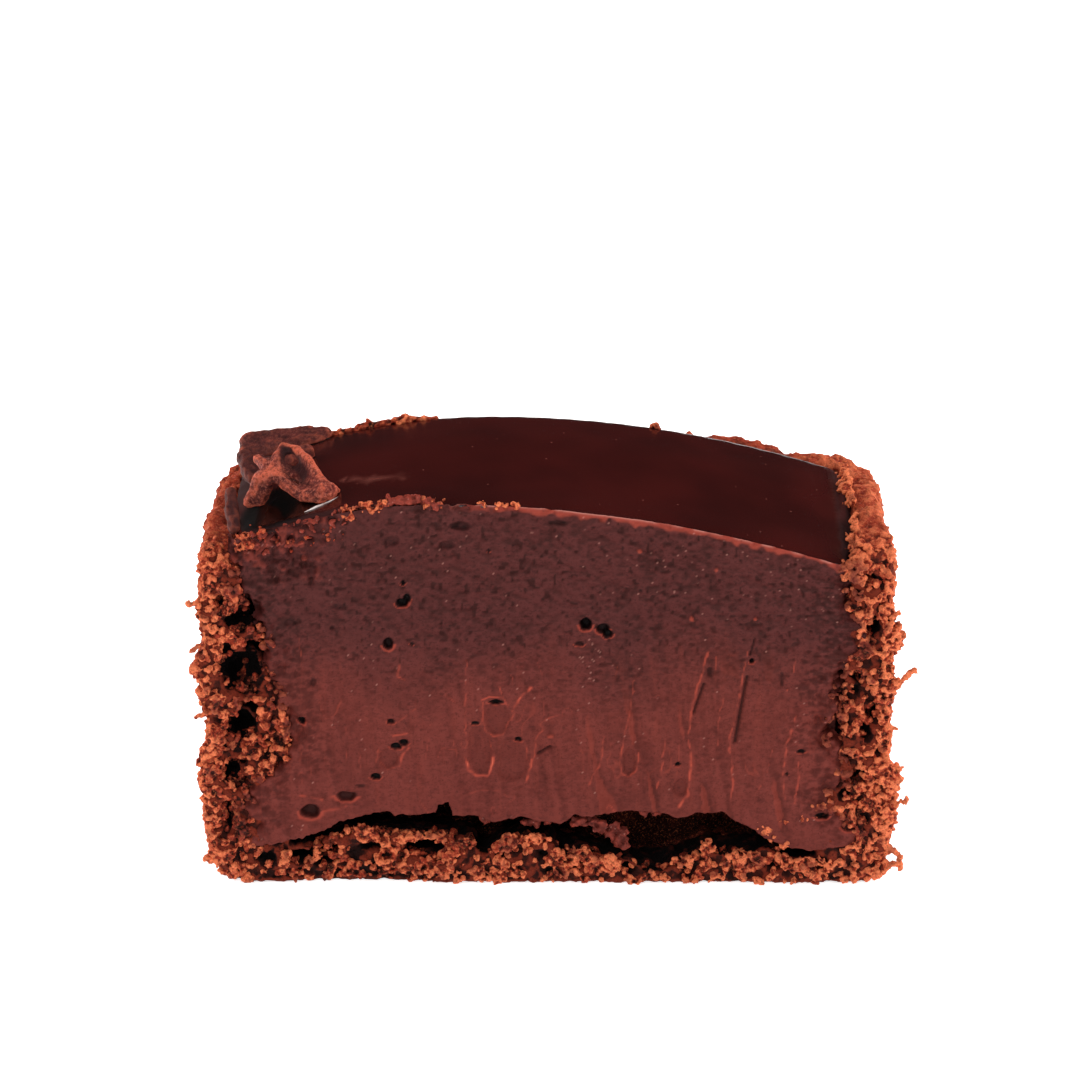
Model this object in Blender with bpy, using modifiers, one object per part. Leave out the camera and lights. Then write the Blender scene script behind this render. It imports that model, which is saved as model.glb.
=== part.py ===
"""Half of a small square chocolate tart, cut through the middle.

A cocoa pastry shell stands on its flat base, with walls left, right and behind
and the cut face in front (-Y). It is full of set ganache under a thin glaze that
domes above the rim, and five broken cocoa nibs lie in its left corner.
Lengths are in metres, +Z is up, and the origin is under the middle of the base.
"""

import math
import random

import bmesh
import bpy
from mathutils import Matrix, Vector, noise

MM = 0.001

# Pastry shell
WIDTH = 50.0 * MM
DEPTH = WIDTH / 2
RIM_HEIGHT = 25.4 * MM
WALL_AT_RIM = 2.9 * MM
BACK_WALL = 3.6 * MM
CORNER_RADIUS = 3.2 * MM
INSIDE_CORNER = 1.4 * MM
FOOT_RADIUS = 2.2 * MM
BACK_RIM_RISE = 3.0 * MM
BACK_CORNER_DROP = 0.8 * MM
SIDE_RIM_RISE = 0.5 * MM
CRUST_RELIEF = 0.42 * MM
FRONT_FOOT_LIFT = 0.8 * MM

# Ganache and glaze
GLAZE_THICKNESS = 0.7 * MM
DOME_HEIGHT = 29.1 * MM
DOME_SWELL = 1.4 * MM
DOME_ROLL = 2.2 * MM
DOME_ROLL_REACH = 2.4 * MM
GAP = 0.34 * MM

CUT_Y = -DEPTH / 2
BACK_Y = DEPTH / 2
GLAZE_BACK_Y = BACK_Y - BACK_WALL - GAP

# The inside of the shell across the tart, up the left wall and up the right
# one, as (x, z) in millimetres. It runs above the rim, to cut right through.
LEFT_INSIDE = ((-18.9, 4.3), (-18.8, 12.0), (-19.1, 15.9), (-20.6, 18.9), (-22.0, 21.9), (-22.4, 26.0), (-22.4, 35.0))
FLOOR_INSIDE = ((-12.0, 4.5), (-4.0, 4.2), (4.0, 3.9), (11.0, 3.5))
RIGHT_INSIDE = ((18.2, 3.2), (19.7, 6.7), (21.0, 9.7), (20.9, 12.8), (21.1, 15.9), (21.3, 21.9), (21.7, 26.0), (21.7, 35.0))
# Behind the cut the inside widens by this share.
INSIDE_SPREAD = 0.035

# Mesh fineness
CRUST_VOXEL = 0.62 * MM
CRUST_SHARE = 0.19
FILLING_VOXEL = 0.8 * MM
NIB_VOXEL = 0.26 * MM
GLAZE_STEP = 1.9 * MM

# Crumbs that stand out from the pastry, by where they are.
GRAINS_ON_CUT = 150
GRAINS_ON_RIM = 70
GRAINS_ON_WALLS = 60
# The ones that break the outline: x, z and radius, in millimetres.
STRAY_CRUMBS = (
    (25.2, 15.5, 0.9),
    (25.2, 8.6, 0.8),
    (25.3, 6.3, 0.9),
    (24.2, 1.2, 1.0),
    (-25.4, 21.1, 0.8),
    (-25.4, 16.8, 0.9),
    (-25.1, 13.2, 0.7),
    (-24.1, 2.2, 0.8),
    (22.5, 25.3, 0.6),
)

# Hollows that the knife opened: centre x and z on the cut face, half width,
# half height and depth into the tart, in millimetres.
WALL_HOLLOWS = (
    (-23.5, 21.6, 0.6, 1.0, 2.0),
    (-22.2, 20.2, 1.3, 0.8, 2.4),
    (-22.2, 16.4, 1.6, 1.4, 3.4),
    (-22.3, 12.2, 1.0, 1.2, 3.0),
    (-23.2, 8.8, 0.7, 1.0, 2.4),
    (-23.3, 5.4, 0.5, 1.6, 1.8),
    (22.9, 23.2, 0.6, 0.6, 1.6),
    (23.2, 19.8, 0.8, 1.0, 2.4),
    (22.3, 16.0, 0.8, 0.6, 1.6),
    (23.5, 13.2, 0.6, 0.9, 2.2),
    (22.3, 8.3, 0.8, 0.6, 1.8),
)
BASE_HOLLOWS = (
    (-15.0, 4.9, 3.2, 0.8, 4.5),
    (-10.8, 5.5, 3.0, 0.9, 5.0),
    (-7.9, 5.9, 1.8, 1.1, 5.5),
    (-4.4, 4.7, 2.6, 1.3, 5.0),
    (-0.2, 4.8, 2.8, 0.9, 4.5),
    (3.4, 4.5, 2.6, 1.2, 4.0),
    (8.4, 4.0, 3.2, 1.9, 6.0),
    (12.4, 4.4, 2.8, 1.3, 5.0),
    (15.4, 4.3, 2.0, 0.8, 3.4),
    (-9.2, 2.8, 2.0, 0.7, 3.0),
    (-16.4, 2.9, 1.4, 0.6, 2.4),
)
# Air bubbles in the ganache: centre x and z, half width and half height.
BUBBLES = (
    (-10.4, 21.9, 0.55, 0.5),
    (-11.6, 18.6, 0.45, 0.45),
    (-18.0, 12.7, 0.35, 0.4),
    (-10.8, 11.0, 0.75, 0.4),
    (-14.9, 7.6, 0.8, 0.45),
    (2.6, 20.1, 0.65, 0.65),
    (3.8, 19.6, 0.6, 0.7),
    (11.5, 16.6, 0.4, 0.4),
    (18.0, 10.4, 0.45, 0.3),
)

# Each cocoa nib is a few fused strokes. A stroke runs through points
# (x, distance behind the cut, z) with a radius each, in millimetres.
NIBS = {
    "nib_curl": (
        ((-20.2, 5.6, 29.8, 0.6), (-20.9, 5.7, 29.6, 0.6), (-21.4, 5.8, 28.7, 0.55), (-21.8, 5.9, 27.7, 0.5)),
        ((-20.2, 5.6, 29.8, 0.6), (-20.7, 5.7, 28.7, 0.6), (-20.9, 5.8, 27.7, 0.55)),
        ((-20.2, 5.6, 29.8, 0.6), (-19.6, 5.4, 29.9, 0.55), (-18.8, 4.8, 29.2, 0.5), (-17.6, 3.9, 28.8, 0.6)),
        ((-17.6, 3.9, 28.8, 0.6), (-16.3, 3.2, 29.1, 0.9), (-15.7, 3.7, 29.2, 0.65), (-15.3, 4.2, 29.0, 0.4)),
        ((-16.4, 3.9, 29.7, 0.5), (-17.2, 5.6, 30.5, 0.4), (-18.3, 7.4, 31.2, 0.4), (-19.4, 8.0, 31.3, 0.4)),
        ((-19.4, 8.0, 31.3, 0.4), (-19.6, 7.2, 30.8, 0.5), (-19.7, 5.6, 29.9, 0.5)),
        ((-18.8, 6.6, 29.7, 0.6), (-17.9, 6.0, 29.6, 0.6), (-16.9, 4.6, 29.5, 0.6)),
        ((-19.7, 5.8, 29.9, 0.5), (-18.8, 6.6, 29.7, 0.6)),
        ((-21.2, 7.6, 30.5, 0.5), (-20.3, 6.4, 30.1, 0.55)),
    ),
    "nib_upright": (
        ((-23.0, 4.5, 28.9, 0.5), (-22.9, 3.6, 28.3, 0.55), (-22.7, 2.6, 27.6, 0.6), (-22.6, 1.8, 27.0, 0.6)),
        ((-22.9, 4.3, 27.8, 0.5), (-22.7, 3.0, 27.4, 0.55)),
    ),
    "nib_left": (
        ((-22.6, 13.4, 28.9, 0.7), (-22.2, 12.2, 28.8, 0.8), (-21.9, 10.8, 28.4, 0.8), (-21.8, 9.8, 28.3, 0.6)),
        ((-22.2, 12.2, 28.8, 0.8), (-21.2, 12.4, 28.7, 0.7), (-20.7, 12.8, 28.6, 0.6)),
    ),
    "nib_middle": (
        ((-19.8, 10.4, 28.9, 0.6), (-19.1, 11.6, 29.3, 0.8), (-17.9, 12.6, 29.5, 0.7)),
        ((-19.1, 11.6, 29.3, 0.8), (-19.3, 13.0, 29.2, 0.6)),
    ),
    "nib_back": (
        ((-22.6, 18.4, 28.6, 0.9), (-20.8, 18.4, 28.8, 1.0), (-18.9, 18.2, 29.1, 0.9), (-16.9, 17.9, 29.4, 0.7)),
        ((-22.8, 17.6, 28.1, 0.8), (-20.4, 17.4, 28.5, 0.9), (-17.4, 17.2, 29.1, 0.7)),
    ),
}


# --- Helpers ---------------------------------------------------------------


def clear_scene():
    for obj in list(bpy.data.objects):
        bpy.data.objects.remove(obj, do_unlink=True)


def collection(name):
    made = bpy.data.collections.new(name)
    bpy.context.scene.collection.children.link(made)
    return made


def material(name, colour, roughness):
    made = bpy.data.materials.new(name)
    made.use_nodes = True
    shader = made.node_tree.nodes["Principled BSDF"]
    shader.inputs["Base Color"].default_value = (*colour, 1.0)
    shader.inputs["Roughness"].default_value = roughness
    shader.inputs["Metallic"].default_value = 0.0
    made.diffuse_color = (*colour, 1.0)
    return made


def object_from(bm, name, home, finish=None):
    mesh = bpy.data.meshes.new(name)
    bm.to_mesh(mesh)
    bm.free()
    obj = bpy.data.objects.new(name, mesh)
    home.objects.link(obj)
    if finish:
        mesh.materials.append(finish)
    return obj


def apply_modifiers(obj):
    """Puts the evaluated mesh in place of the modifiers."""
    bpy.context.view_layer.update()
    graph = bpy.context.evaluated_depsgraph_get()
    mesh = bpy.data.meshes.new_from_object(obj.evaluated_get(graph))
    obj.modifiers.clear()
    obj.data = mesh
    return obj


def remesh(obj, voxel):
    step = obj.modifiers.new("even mesh", "REMESH")
    step.mode = "VOXEL"
    step.voxel_size = voxel
    return apply_modifiers(obj)


def boolean(obj, operation, other):
    step = obj.modifiers.new(operation.lower(), "BOOLEAN")
    step.operation = operation
    step.solver = "EXACT"
    if isinstance(other, bpy.types.Collection):
        step.operand_type = "COLLECTION"
        step.collection = other
    else:
        step.object = other
    return step


def thin_out(obj, share):
    """Merges the smallest faces, which takes the flat areas first."""
    step = obj.modifiers.new("fewer faces", "DECIMATE")
    step.ratio = share
    return step


def as_cutter(obj):
    obj.hide_render = True
    obj.display_type = "WIRE"
    return obj


def smooth_step(low, high, value):
    share = min(max((value - low) / (high - low), 0.0), 1.0)
    return share * share * (3 - 2 * share)


def between(low, high, share):
    return low + (high - low) * share


def blob(name, home, centre, half_size, fineness=2, roughness=0.28):
    """A lumpy ellipsoid, the shape of a crumb or of the hole that one left."""
    bm = bmesh.new()
    bmesh.ops.create_icosphere(bm, subdivisions=fineness, radius=1.0)
    seed = Vector(centre) * 900
    for vert in bm.verts:
        vert.co *= 1 + roughness * noise.noise(vert.co * 1.7 + seed)
    bmesh.ops.transform(bm, matrix=Matrix.Diagonal((*half_size, 1)), verts=bm.verts)
    bmesh.ops.translate(bm, vec=centre, verts=bm.verts)
    bmesh.ops.recalc_face_normals(bm, faces=bm.faces)
    return object_from(bm, name, home)


# --- Shapes that the sub-parts share ---------------------------------------


def dome(x, y):
    """Height of the glaze: an arch across the tart, rolled over at the back."""
    depth = y - CUT_Y
    share = min(max(depth / DEPTH, 0.0), 1.0)
    crown_x = between(-8.0 * MM, -3.0 * MM, share)
    fall_left = between(13.0, 9.4, share)
    fall_right = between(5.5, 6.6, share)
    fall = fall_left if x < crown_x else fall_right
    height = DOME_HEIGHT - fall * (x - crown_x) ** 2
    height += DOME_SWELL * smooth_step(0.0, 14.0 * MM, depth)
    height -= DOME_ROLL * smooth_step(GLAZE_BACK_Y - DOME_ROLL_REACH, GLAZE_BACK_Y + 0.2 * MM, y)
    return height


def rim_rise(x, y):
    """How far the rim stands above its height at the two cut ends."""
    across = 1 - (2 * x / WIDTH) ** 2
    along = (y - CUT_Y) / DEPTH
    back = (BACK_RIM_RISE * max(across, 0.0) ** 0.8 - BACK_CORNER_DROP) * smooth_step(0.5, 0.9, along)
    return back + SIDE_RIM_RISE * math.sin(math.pi * min(along, 1.0)) ** 2


def inside_of(wall, z):
    """x of one inside wall at a height, read off its profile."""
    for (x0, z0), (x1, z1) in zip(wall, wall[1:]):
        if z <= z1 * MM:
            share = min(max((z / MM - z0) / (z1 - z0), 0.0), 1.0)
            return between(x0, x1, share) * MM
    return wall[-1][0] * MM


def spread(y):
    return 1 + INSIDE_SPREAD * smooth_step(0.5 * MM, 7.0 * MM, y - CUT_Y)


def loft(rings):
    """A closed solid through rings that all have the same number of points."""
    bm = bmesh.new()
    rows = [[bm.verts.new(point) for point in ring] for ring in rings]
    count = len(rows[0])
    for near, far in zip(rows, rows[1:]):
        for start in range(count):
            end = (start + 1) % count
            bm.faces.new((near[start], near[end], far[end], far[start]))
    bm.faces.new(rows[0])
    bm.faces.new(rows[-1])
    bmesh.ops.recalc_face_normals(bm, faces=bm.faces)
    return bm


def inside_ring(y, inset, top):
    """The inside of the shell at one y, shrunk by inset, up to the height top(x, y)."""
    wide = spread(y)
    sides = []
    for wall, inward in ((LEFT_INSIDE, 1), (RIGHT_INSIDE, -1)):
        roof_z = top(inside_of(wall, 24 * MM), y)
        floor_z = wall[0][1] * MM + inset
        levels = [z * MM for _, z in wall[1:] if z * MM < roof_z - 0.2 * MM]
        levels = [floor_z, *levels, roof_z]
        sides.append([(inside_of(wall, z) * wide + inward * inset, z) for z in levels])
    left, right = sides
    floor = [(x * MM * wide, z * MM + inset) for x, z in FLOOR_INSIDE]
    roof = []
    for step in range(1, 14):
        x = between(right[-1][0], left[-1][0], step / 14)
        roof.append((x, top(x, y)))
    return [Vector((x, y, z)) for x, z in left[::-1] + floor + right + roof]


# --- Sub-parts -------------------------------------------------------------


def shell_block():
    """The pastry as one solid block, with its rim, feet and crumbly skin."""
    bm = bmesh.new()
    bmesh.ops.create_cube(bm, size=1.0)
    bmesh.ops.transform(bm, matrix=Matrix.Diagonal((WIDTH, DEPTH, RIM_HEIGHT, 1)), verts=bm.verts)
    bmesh.ops.translate(bm, vec=(0, 0, RIM_HEIGHT / 2), verts=bm.verts)
    upright = [e for e in bm.edges if all(v.co.y > 0 for v in e.verts) and e.verts[0].co.z != e.verts[1].co.z]
    bmesh.ops.bevel(bm, geom=upright, offset=CORNER_RADIUS, segments=4, profile=0.5, affect="EDGES")
    feet = [e for e in bm.edges if all(v.co.z < MM for v in e.verts) and len(e.link_faces) == 2]
    bmesh.ops.bevel(bm, geom=feet, offset=FOOT_RADIUS, segments=3, profile=0.5, affect="EDGES")
    return bm


def roughen_pastry(mesh):
    """Raises the rim, and pushes every face but the base in and out."""
    normals = [vert.normal.copy() for vert in mesh.vertices]
    for vert, normal in zip(mesh.vertices, normals):
        base = smooth_step(0.2 * MM, 2.0 * MM, vert.co.z)
        relief = noise.fractal(vert.co * 420, 1.0, 2.0, 3)
        push = normal * CRUST_RELIEF * relief * base
        upper = smooth_step(0.55 * RIM_HEIGHT, RIM_HEIGHT, vert.co.z)
        lift = rim_rise(vert.co.x, vert.co.y) * upper
        front = 1 - smooth_step(0.0, 3.0 * MM, vert.co.y - CUT_Y)
        hump = smooth_step(-20 * MM, -17 * MM, vert.co.x) * (1 - smooth_step(-11 * MM, -8 * MM, vert.co.x))
        foot = FRONT_FOOT_LIFT * front * hump * (1 - smooth_step(0.0, 3.5 * MM, vert.co.z))
        vert.co = vert.co + push + Vector((0, 0, lift + foot))


def grain_spots():
    """Where crumbs stand out: (x, y, z, radius), thickest around the cut."""
    pick = random.Random(11)
    half = WIDTH / 2
    spots = [(x * MM, CUT_Y + 0.5 * MM, z * MM, r * MM) for x, z, r in STRAY_CRUMBS]
    for _ in range(GRAINS_ON_CUT):
        where = pick.random()
        size = pick.uniform(0.5, 1.1) * MM
        y = CUT_Y + size * pick.uniform(0.35, 0.8)
        z = pick.uniform(0.12, 1.0) * RIM_HEIGHT
        if where < 0.38:
            x = between(-half, inside_of(LEFT_INSIDE, z), pick.random())
        elif where < 0.68:
            x = between(inside_of(RIGHT_INSIDE, z), half, pick.random())
        else:
            x = half * pick.uniform(-0.88, 0.88)
            z = pick.uniform(1.0, 4.2) * MM
        spots.append((x, y, z, size))
    for _ in range(GRAINS_ON_RIM):
        size = pick.uniform(0.5, 1.0) * MM
        along = pick.random()
        inward = WALL_AT_RIM * pick.uniform(0.15, 0.85)
        if along < 0.5:
            x = half * pick.uniform(-0.9, 0.95)
            y = BACK_Y - inward
        else:
            x = math.copysign(half - inward, pick.uniform(-1, 1))
            y = pick.uniform(CUT_Y, BACK_Y - 2 * MM)
        spots.append((x, y, RIM_HEIGHT - 0.35 * size, size))
    for _ in range(GRAINS_ON_WALLS):
        size = pick.uniform(0.7, 1.2) * MM
        z = pick.uniform(0.1, 0.95) * RIM_HEIGHT
        if pick.random() < 0.45:
            x = half * pick.uniform(-0.85, 0.85)
            y = BACK_Y - size * 0.7
        else:
            x = math.copysign(half - size * 0.7, pick.uniform(-1, 1))
            y = pick.uniform(CUT_Y, BACK_Y - 3 * MM)
        spots.append((x, y, z, size))
    return spots


def add_grain(bm, spot, size):
    """One angular crumb: an icosphere pulled about by noise."""
    made = bmesh.ops.create_icosphere(bm, subdivisions=1, radius=size)
    for vert in made["verts"]:
        vert.co *= 1 + 0.5 * noise.noise(vert.co * 1500 + Vector(spot) * 800)
        vert.co += Vector(spot)


def cut_hollows(home, rows, prefix):
    for number, (x, z, wide, high, deep) in enumerate(rows):
        centre = (x * MM, CUT_Y, z * MM)
        half_size = (wide * MM, deep * MM, high * MM)
        as_cutter(blob(f"{prefix}_{number:02d}", home, centre, half_size, roughness=0.4))


def make_crust(home, finish, helpers, wall_cuts, base_cuts):
    block = shell_block()
    for x, y, z, size in grain_spots():
        add_grain(block, (x, y, z), size)
    crust = remesh(object_from(block, "crust", home), CRUST_VOXEL)
    roughen_pastry(crust.data)
    thin_out(crust, CRUST_SHARE)
    apply_modifiers(crust)
    rows = (CUT_Y - 4 * MM, CUT_Y + 0.5 * MM, CUT_Y + 3.5 * MM, CUT_Y + 7 * MM, BACK_Y - BACK_WALL)
    rings = [inside_ring(y, 0.0, lambda x, y: DOME_HEIGHT + 5 * MM) for y in rows]
    hollow = as_cutter(object_from(loft(rings), "inside", helpers))
    boolean(crust, "DIFFERENCE", hollow)
    boolean(crust, "DIFFERENCE", wall_cuts)
    boolean(crust, "DIFFERENCE", base_cuts)
    crust.data.materials.clear()
    crust.data.materials.append(finish)
    return crust


def filling_top(x, y):
    """Under the glaze, and further down where the glaze is steep."""
    steep = smooth_step(GLAZE_BACK_Y - 1.5 * DOME_ROLL_REACH, GLAZE_BACK_Y - 0.3 * DOME_ROLL_REACH, y)
    return dome(x, y) - GLAZE_THICKNESS * (1 + 0.8 * steep) - 1.4 * GAP


def drag_cut_face(mesh):
    """Draws the knife's shallow streaks down the cut face."""
    for vert in mesh.vertices:
        x, y, z = vert.co
        if y < CUT_Y + 0.3 * MM:
            streak = noise.noise(Vector((x * 500, z * 60, 2.0)))
            vert.co.y = y + 0.12 * MM * (1 + streak)


def make_filling(home, finish, base_cuts, bubbles):
    depths = (0, 0.5, 2, 3.5, 5, 7, 9, 11, 13, 15, 17, 18.2, 19, 19.7, 20.4, 21.1)
    rings = [inside_ring(CUT_Y + depth * MM, GAP, filling_top) for depth in depths]
    filling = remesh(object_from(loft(rings), "filling", home), FILLING_VOXEL)
    drag_cut_face(filling.data)
    thin_out(filling, 0.17)
    apply_modifiers(filling)
    boolean(filling, "DIFFERENCE", base_cuts)
    boolean(filling, "DIFFERENCE", bubbles)
    filling.data.materials.append(finish)
    return filling


def make_glaze(home, finish):
    """A sheet over the dome, thickened downwards."""
    left = inside_of(LEFT_INSIDE, RIM_HEIGHT) + GAP
    right = inside_of(RIGHT_INSIDE, RIM_HEIGHT - 1 * MM) - GAP
    columns = round((right - left) / GLAZE_STEP)
    rows = round((GLAZE_BACK_Y - CUT_Y) / GLAZE_STEP)
    bm = bmesh.new()
    bmesh.ops.create_grid(bm, x_segments=columns, y_segments=rows, size=0.5)
    for vert in bm.verts:
        x = between(left, right, vert.co.x + 0.5)
        y = between(CUT_Y, GLAZE_BACK_Y, 1 - (0.5 - vert.co.y) ** 1.6)
        corner = INSIDE_CORNER
        reach = max(abs(x - (left + right) / 2) - (right - left) / 2 + corner, 0.0)
        back = max(y - GLAZE_BACK_Y + corner, 0.0)
        outside = math.hypot(reach, back) / corner
        if outside > 1:
            x -= math.copysign(reach * (1 - 1 / outside), x)
            y -= back * (1 - 1 / outside)
        x *= spread(y)
        vert.co = Vector((x, y, dome(x, y)))
    glaze = object_from(bm, "glaze", home, finish)
    sheet = glaze.modifiers.new("thickness", "SOLIDIFY")
    sheet.thickness = GLAZE_THICKNESS
    sheet.offset = -1.0
    glaze.data.shade_smooth()
    return glaze


def resting_height(x, y):
    """Height of the surface under a nib: the glaze, or the rim outside it."""
    if x < inside_of(LEFT_INSIDE, RIM_HEIGHT) * spread(y):
        return RIM_HEIGHT + rim_rise(x, y) + CRUST_RELIEF
    return dome(x, y)


def make_nib(name, strokes, home, finish):
    """Beads along each stroke, fused by a remesh, softened, and flat where they rest."""
    bm = bmesh.new()
    for stroke in strokes:
        for start, end in zip(stroke, stroke[1:]):
            first, last = Vector(start[:3]), Vector(end[:3])
            count = max(2, round((last - first).length / 0.35))
            for step in range(count + 1):
                share = step / count
                spot = first.lerp(last, share) * MM
                radius = between(start[3], end[3], share) * MM
                where = Matrix.Translation(spot + Vector((0, CUT_Y, 0)))
                bmesh.ops.create_icosphere(bm, subdivisions=2, radius=radius, matrix=where)
    nib = remesh(object_from(bm, name, home), NIB_VOXEL)
    normals = [vert.normal.copy() for vert in nib.data.vertices]
    for vert, normal in zip(nib.data.vertices, normals):
        vert.co += normal * 0.16 * MM * noise.fractal(vert.co * 900, 1.0, 2.0, 2)
    thin_out(nib, 0.16)
    apply_modifiers(nib)
    for vert in nib.data.vertices:
        vert.co.z = max(vert.co.z, resting_height(vert.co.x, vert.co.y) + GAP)
    nib.data.materials.append(finish)
    return nib


def build():
    clear_scene()
    tart = collection("chocolate tart")
    helpers = collection("helpers")
    wall_cuts = collection("wall hollows")
    base_cuts = collection("base hollows")
    bubbles = collection("bubbles")
    pastry = material("pastry", (0.32, 0.075, 0.035), 0.85)
    ganache = material("ganache", (0.11, 0.028, 0.023), 0.5)
    shine = material("glaze", (0.045, 0.008, 0.006), 0.15)
    cocoa = material("cocoa nib", (0.17, 0.042, 0.032), 0.8)
    cut_hollows(wall_cuts, WALL_HOLLOWS, "wall_hollow")
    cut_hollows(base_cuts, BASE_HOLLOWS, "base_hollow")
    cut_hollows(bubbles, [(x, z, w, h, (w + h) * 0.55) for x, z, w, h in BUBBLES], "bubble")
    make_crust(tart, pastry, helpers, wall_cuts, base_cuts)
    make_filling(tart, ganache, base_cuts, bubbles)
    make_glaze(tart, shine)
    for name, strokes in NIBS.items():
        make_nib(name, strokes, tart, cocoa)


build()
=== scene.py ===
# %% [markdown]
# # Half of a small square chocolate tart
# A cocoa pastry shell holds set ganache under a thin glaze. A knife has opened
# it, so the near side shows everything: crumbly walls, smooth filling with
# bubbles and knife marks, and dark gaps where the filling has let go of the
# base. The measured model comes in as a fixed frame, and each part of it gets
# a finer skin here.

# %% Load the frame
import math

import bmesh
import bpy
import numpy as np
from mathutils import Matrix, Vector
from mathutils.bvhtree import BVHTree
from mathutils.kdtree import KDTree


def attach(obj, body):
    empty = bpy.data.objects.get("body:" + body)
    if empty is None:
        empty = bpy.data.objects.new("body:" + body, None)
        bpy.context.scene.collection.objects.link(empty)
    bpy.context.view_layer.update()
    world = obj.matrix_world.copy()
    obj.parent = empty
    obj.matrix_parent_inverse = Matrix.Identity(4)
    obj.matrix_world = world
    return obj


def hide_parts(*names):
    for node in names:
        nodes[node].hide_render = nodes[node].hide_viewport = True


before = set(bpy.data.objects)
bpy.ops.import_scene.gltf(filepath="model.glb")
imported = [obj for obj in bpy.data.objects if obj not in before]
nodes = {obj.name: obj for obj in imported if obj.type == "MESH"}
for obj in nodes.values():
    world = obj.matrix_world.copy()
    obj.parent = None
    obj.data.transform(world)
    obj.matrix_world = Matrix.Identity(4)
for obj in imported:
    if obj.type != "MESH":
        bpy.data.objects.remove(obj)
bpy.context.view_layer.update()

MM = 0.001
CUT = -12.5          # y of the knife's plane, in mm
print("solids:", ", ".join(sorted(nodes)))

# %% [markdown]
# ## Camera
# A long lens from a low angle keeps the cut face almost undistorted and still
# shows the whole top as a thin band.

# %% Camera
LENS, SENSOR = 130.17, 36.0                  # mm
CAMERA_AT = (-0.75, -277.05, 108.36)         # mm
LOOKS_DOWN = 17.22                           # degrees

scene = bpy.context.scene
camera = bpy.data.objects.new("camera", bpy.data.cameras.new("camera"))
scene.collection.objects.link(camera)
camera.data.lens, camera.data.sensor_width = LENS, SENSOR
camera.data.clip_start, camera.data.clip_end = 0.01, 10.0
camera.location = [v * MM for v in CAMERA_AT]
camera.rotation_euler = (math.radians(90 - LOOKS_DOWN), 0.0, 0.0)
scene.camera = camera
scene.view_settings.view_transform = "Standard"
print("camera", [round(v, 4) for v in camera.location])

# %% [markdown]
# ## Shader helper
# A shader graph is a formula, so it is easier to read as one. `Wire` wraps a
# socket and turns `+`, `-` and `*` into Math nodes.

# %% Shader helper
class Wire:
    """A node socket that can be used in Python arithmetic."""

    def __init__(self, paint, socket):
        self.paint = paint
        self.socket = socket

    def _math(self, operation, *values):
        return self.paint.node("ShaderNodeMath", {"operation": operation}, values)

    def __add__(self, other):
        return self._math("ADD", self, other)

    __radd__ = __add__

    def __mul__(self, other):
        return self._math("MULTIPLY", self, other)

    __rmul__ = __mul__

    def __sub__(self, other):
        return self._math("SUBTRACT", self, other)

    def __rsub__(self, other):
        return self._math("SUBTRACT", other, self)

    def clamped(self):
        """The same value, kept between 0 and 1."""
        return self.paint.node("ShaderNodeMath", {"operation": "ADD", "use_clamp": True}, (self, 0.0))

    def ramp(self, low, high):
        """0 at low, 1 at high, and smooth between."""
        values = {"Value": self, "From Min": low, "From Max": high}
        return self.paint.node("ShaderNodeMapRange", {"interpolation_type": "SMOOTHSTEP"}, values)


class Paint:
    """One material's node graph."""

    def __init__(self, name):
        self.material = bpy.data.materials.new(name)
        self.material.use_nodes = True
        self.tree = self.material.node_tree
        self.tree.nodes.clear()

    def node(self, kind, settings=None, values=(), output=0):
        """A new node with these settings and inputs, as one of its outputs."""
        made = self.tree.nodes.new(kind)
        for name, value in (settings or {}).items():
            setattr(made, name, value)
        pairs = values.items() if isinstance(values, dict) else enumerate(values)
        for key, value in pairs:
            if isinstance(value, Wire):
                self.tree.links.new(value.socket, made.inputs[key])
            else:
                made.inputs[key].default_value = value
        return Wire(self, made.outputs[output]) if len(made.outputs) else None

    def painted(self, name):
        """A number stored on the mesh's points."""
        return self.node("ShaderNodeAttribute", {"attribute_name": name}, output="Fac")

    def place(self):
        """Where the shaded spot is, in the object's own metres."""
        return self.node("ShaderNodeTexCoord", output="Object")

    def noise(self, scale, detail=3.0, rough=0.55, where=None):
        values = {"Vector": where or self.place(), "Scale": scale, "Detail": detail, "Roughness": rough}
        return self.node("ShaderNodeTexNoise", {}, values, "Fac")

    def cells(self, scale):
        values = {"Vector": self.place(), "Scale": scale}
        return self.node("ShaderNodeTexVoronoi", {}, values, "Distance")

    def stretch(self, size):
        values = {"Vector": self.place(), "Scale": size}
        return self.node("ShaderNodeMapping", {}, values)

    def mix(self, share, first, second):
        """A mixed colour. Inputs 0, 6 and 7 take the share and the two colours."""
        settings = {"data_type": "RGBA", "clamp_factor": True}
        return self.node("ShaderNodeMix", settings, {0: share, 6: first, 7: second}, 2)

    def coats(self, base, *coats):
        """A base colour under coats of (share, colour), the last one outermost."""
        for share, tint in coats:
            base = self.mix(share, base, tint)
        return base

    def bump(self, height, strength, distance):
        values = {"Strength": strength, "Distance": distance, "Height": height}
        return self.node("ShaderNodeBump", {}, values)

    def finish(self, **inputs):
        """Principled shader with these inputs; underscores stand for spaces."""
        values = {name.replace("_", " "): value for name, value in inputs.items()}
        shader = self.node("ShaderNodeBsdfPrincipled", {}, values)
        self.node("ShaderNodeOutputMaterial", {}, {"Surface": shader})
        return self.material


def colour(red, green, blue):
    """A colour given on a 0 to 255 screen scale, as linear light."""
    shares = [v / 255 for v in (red, green, blue)]
    linear = [((v + 0.055) / 1.055) ** 2.4 if v > 0.04 else v / 12.92 for v in shares]
    return (*linear, 1.0)


print("shader helper ready")


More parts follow.
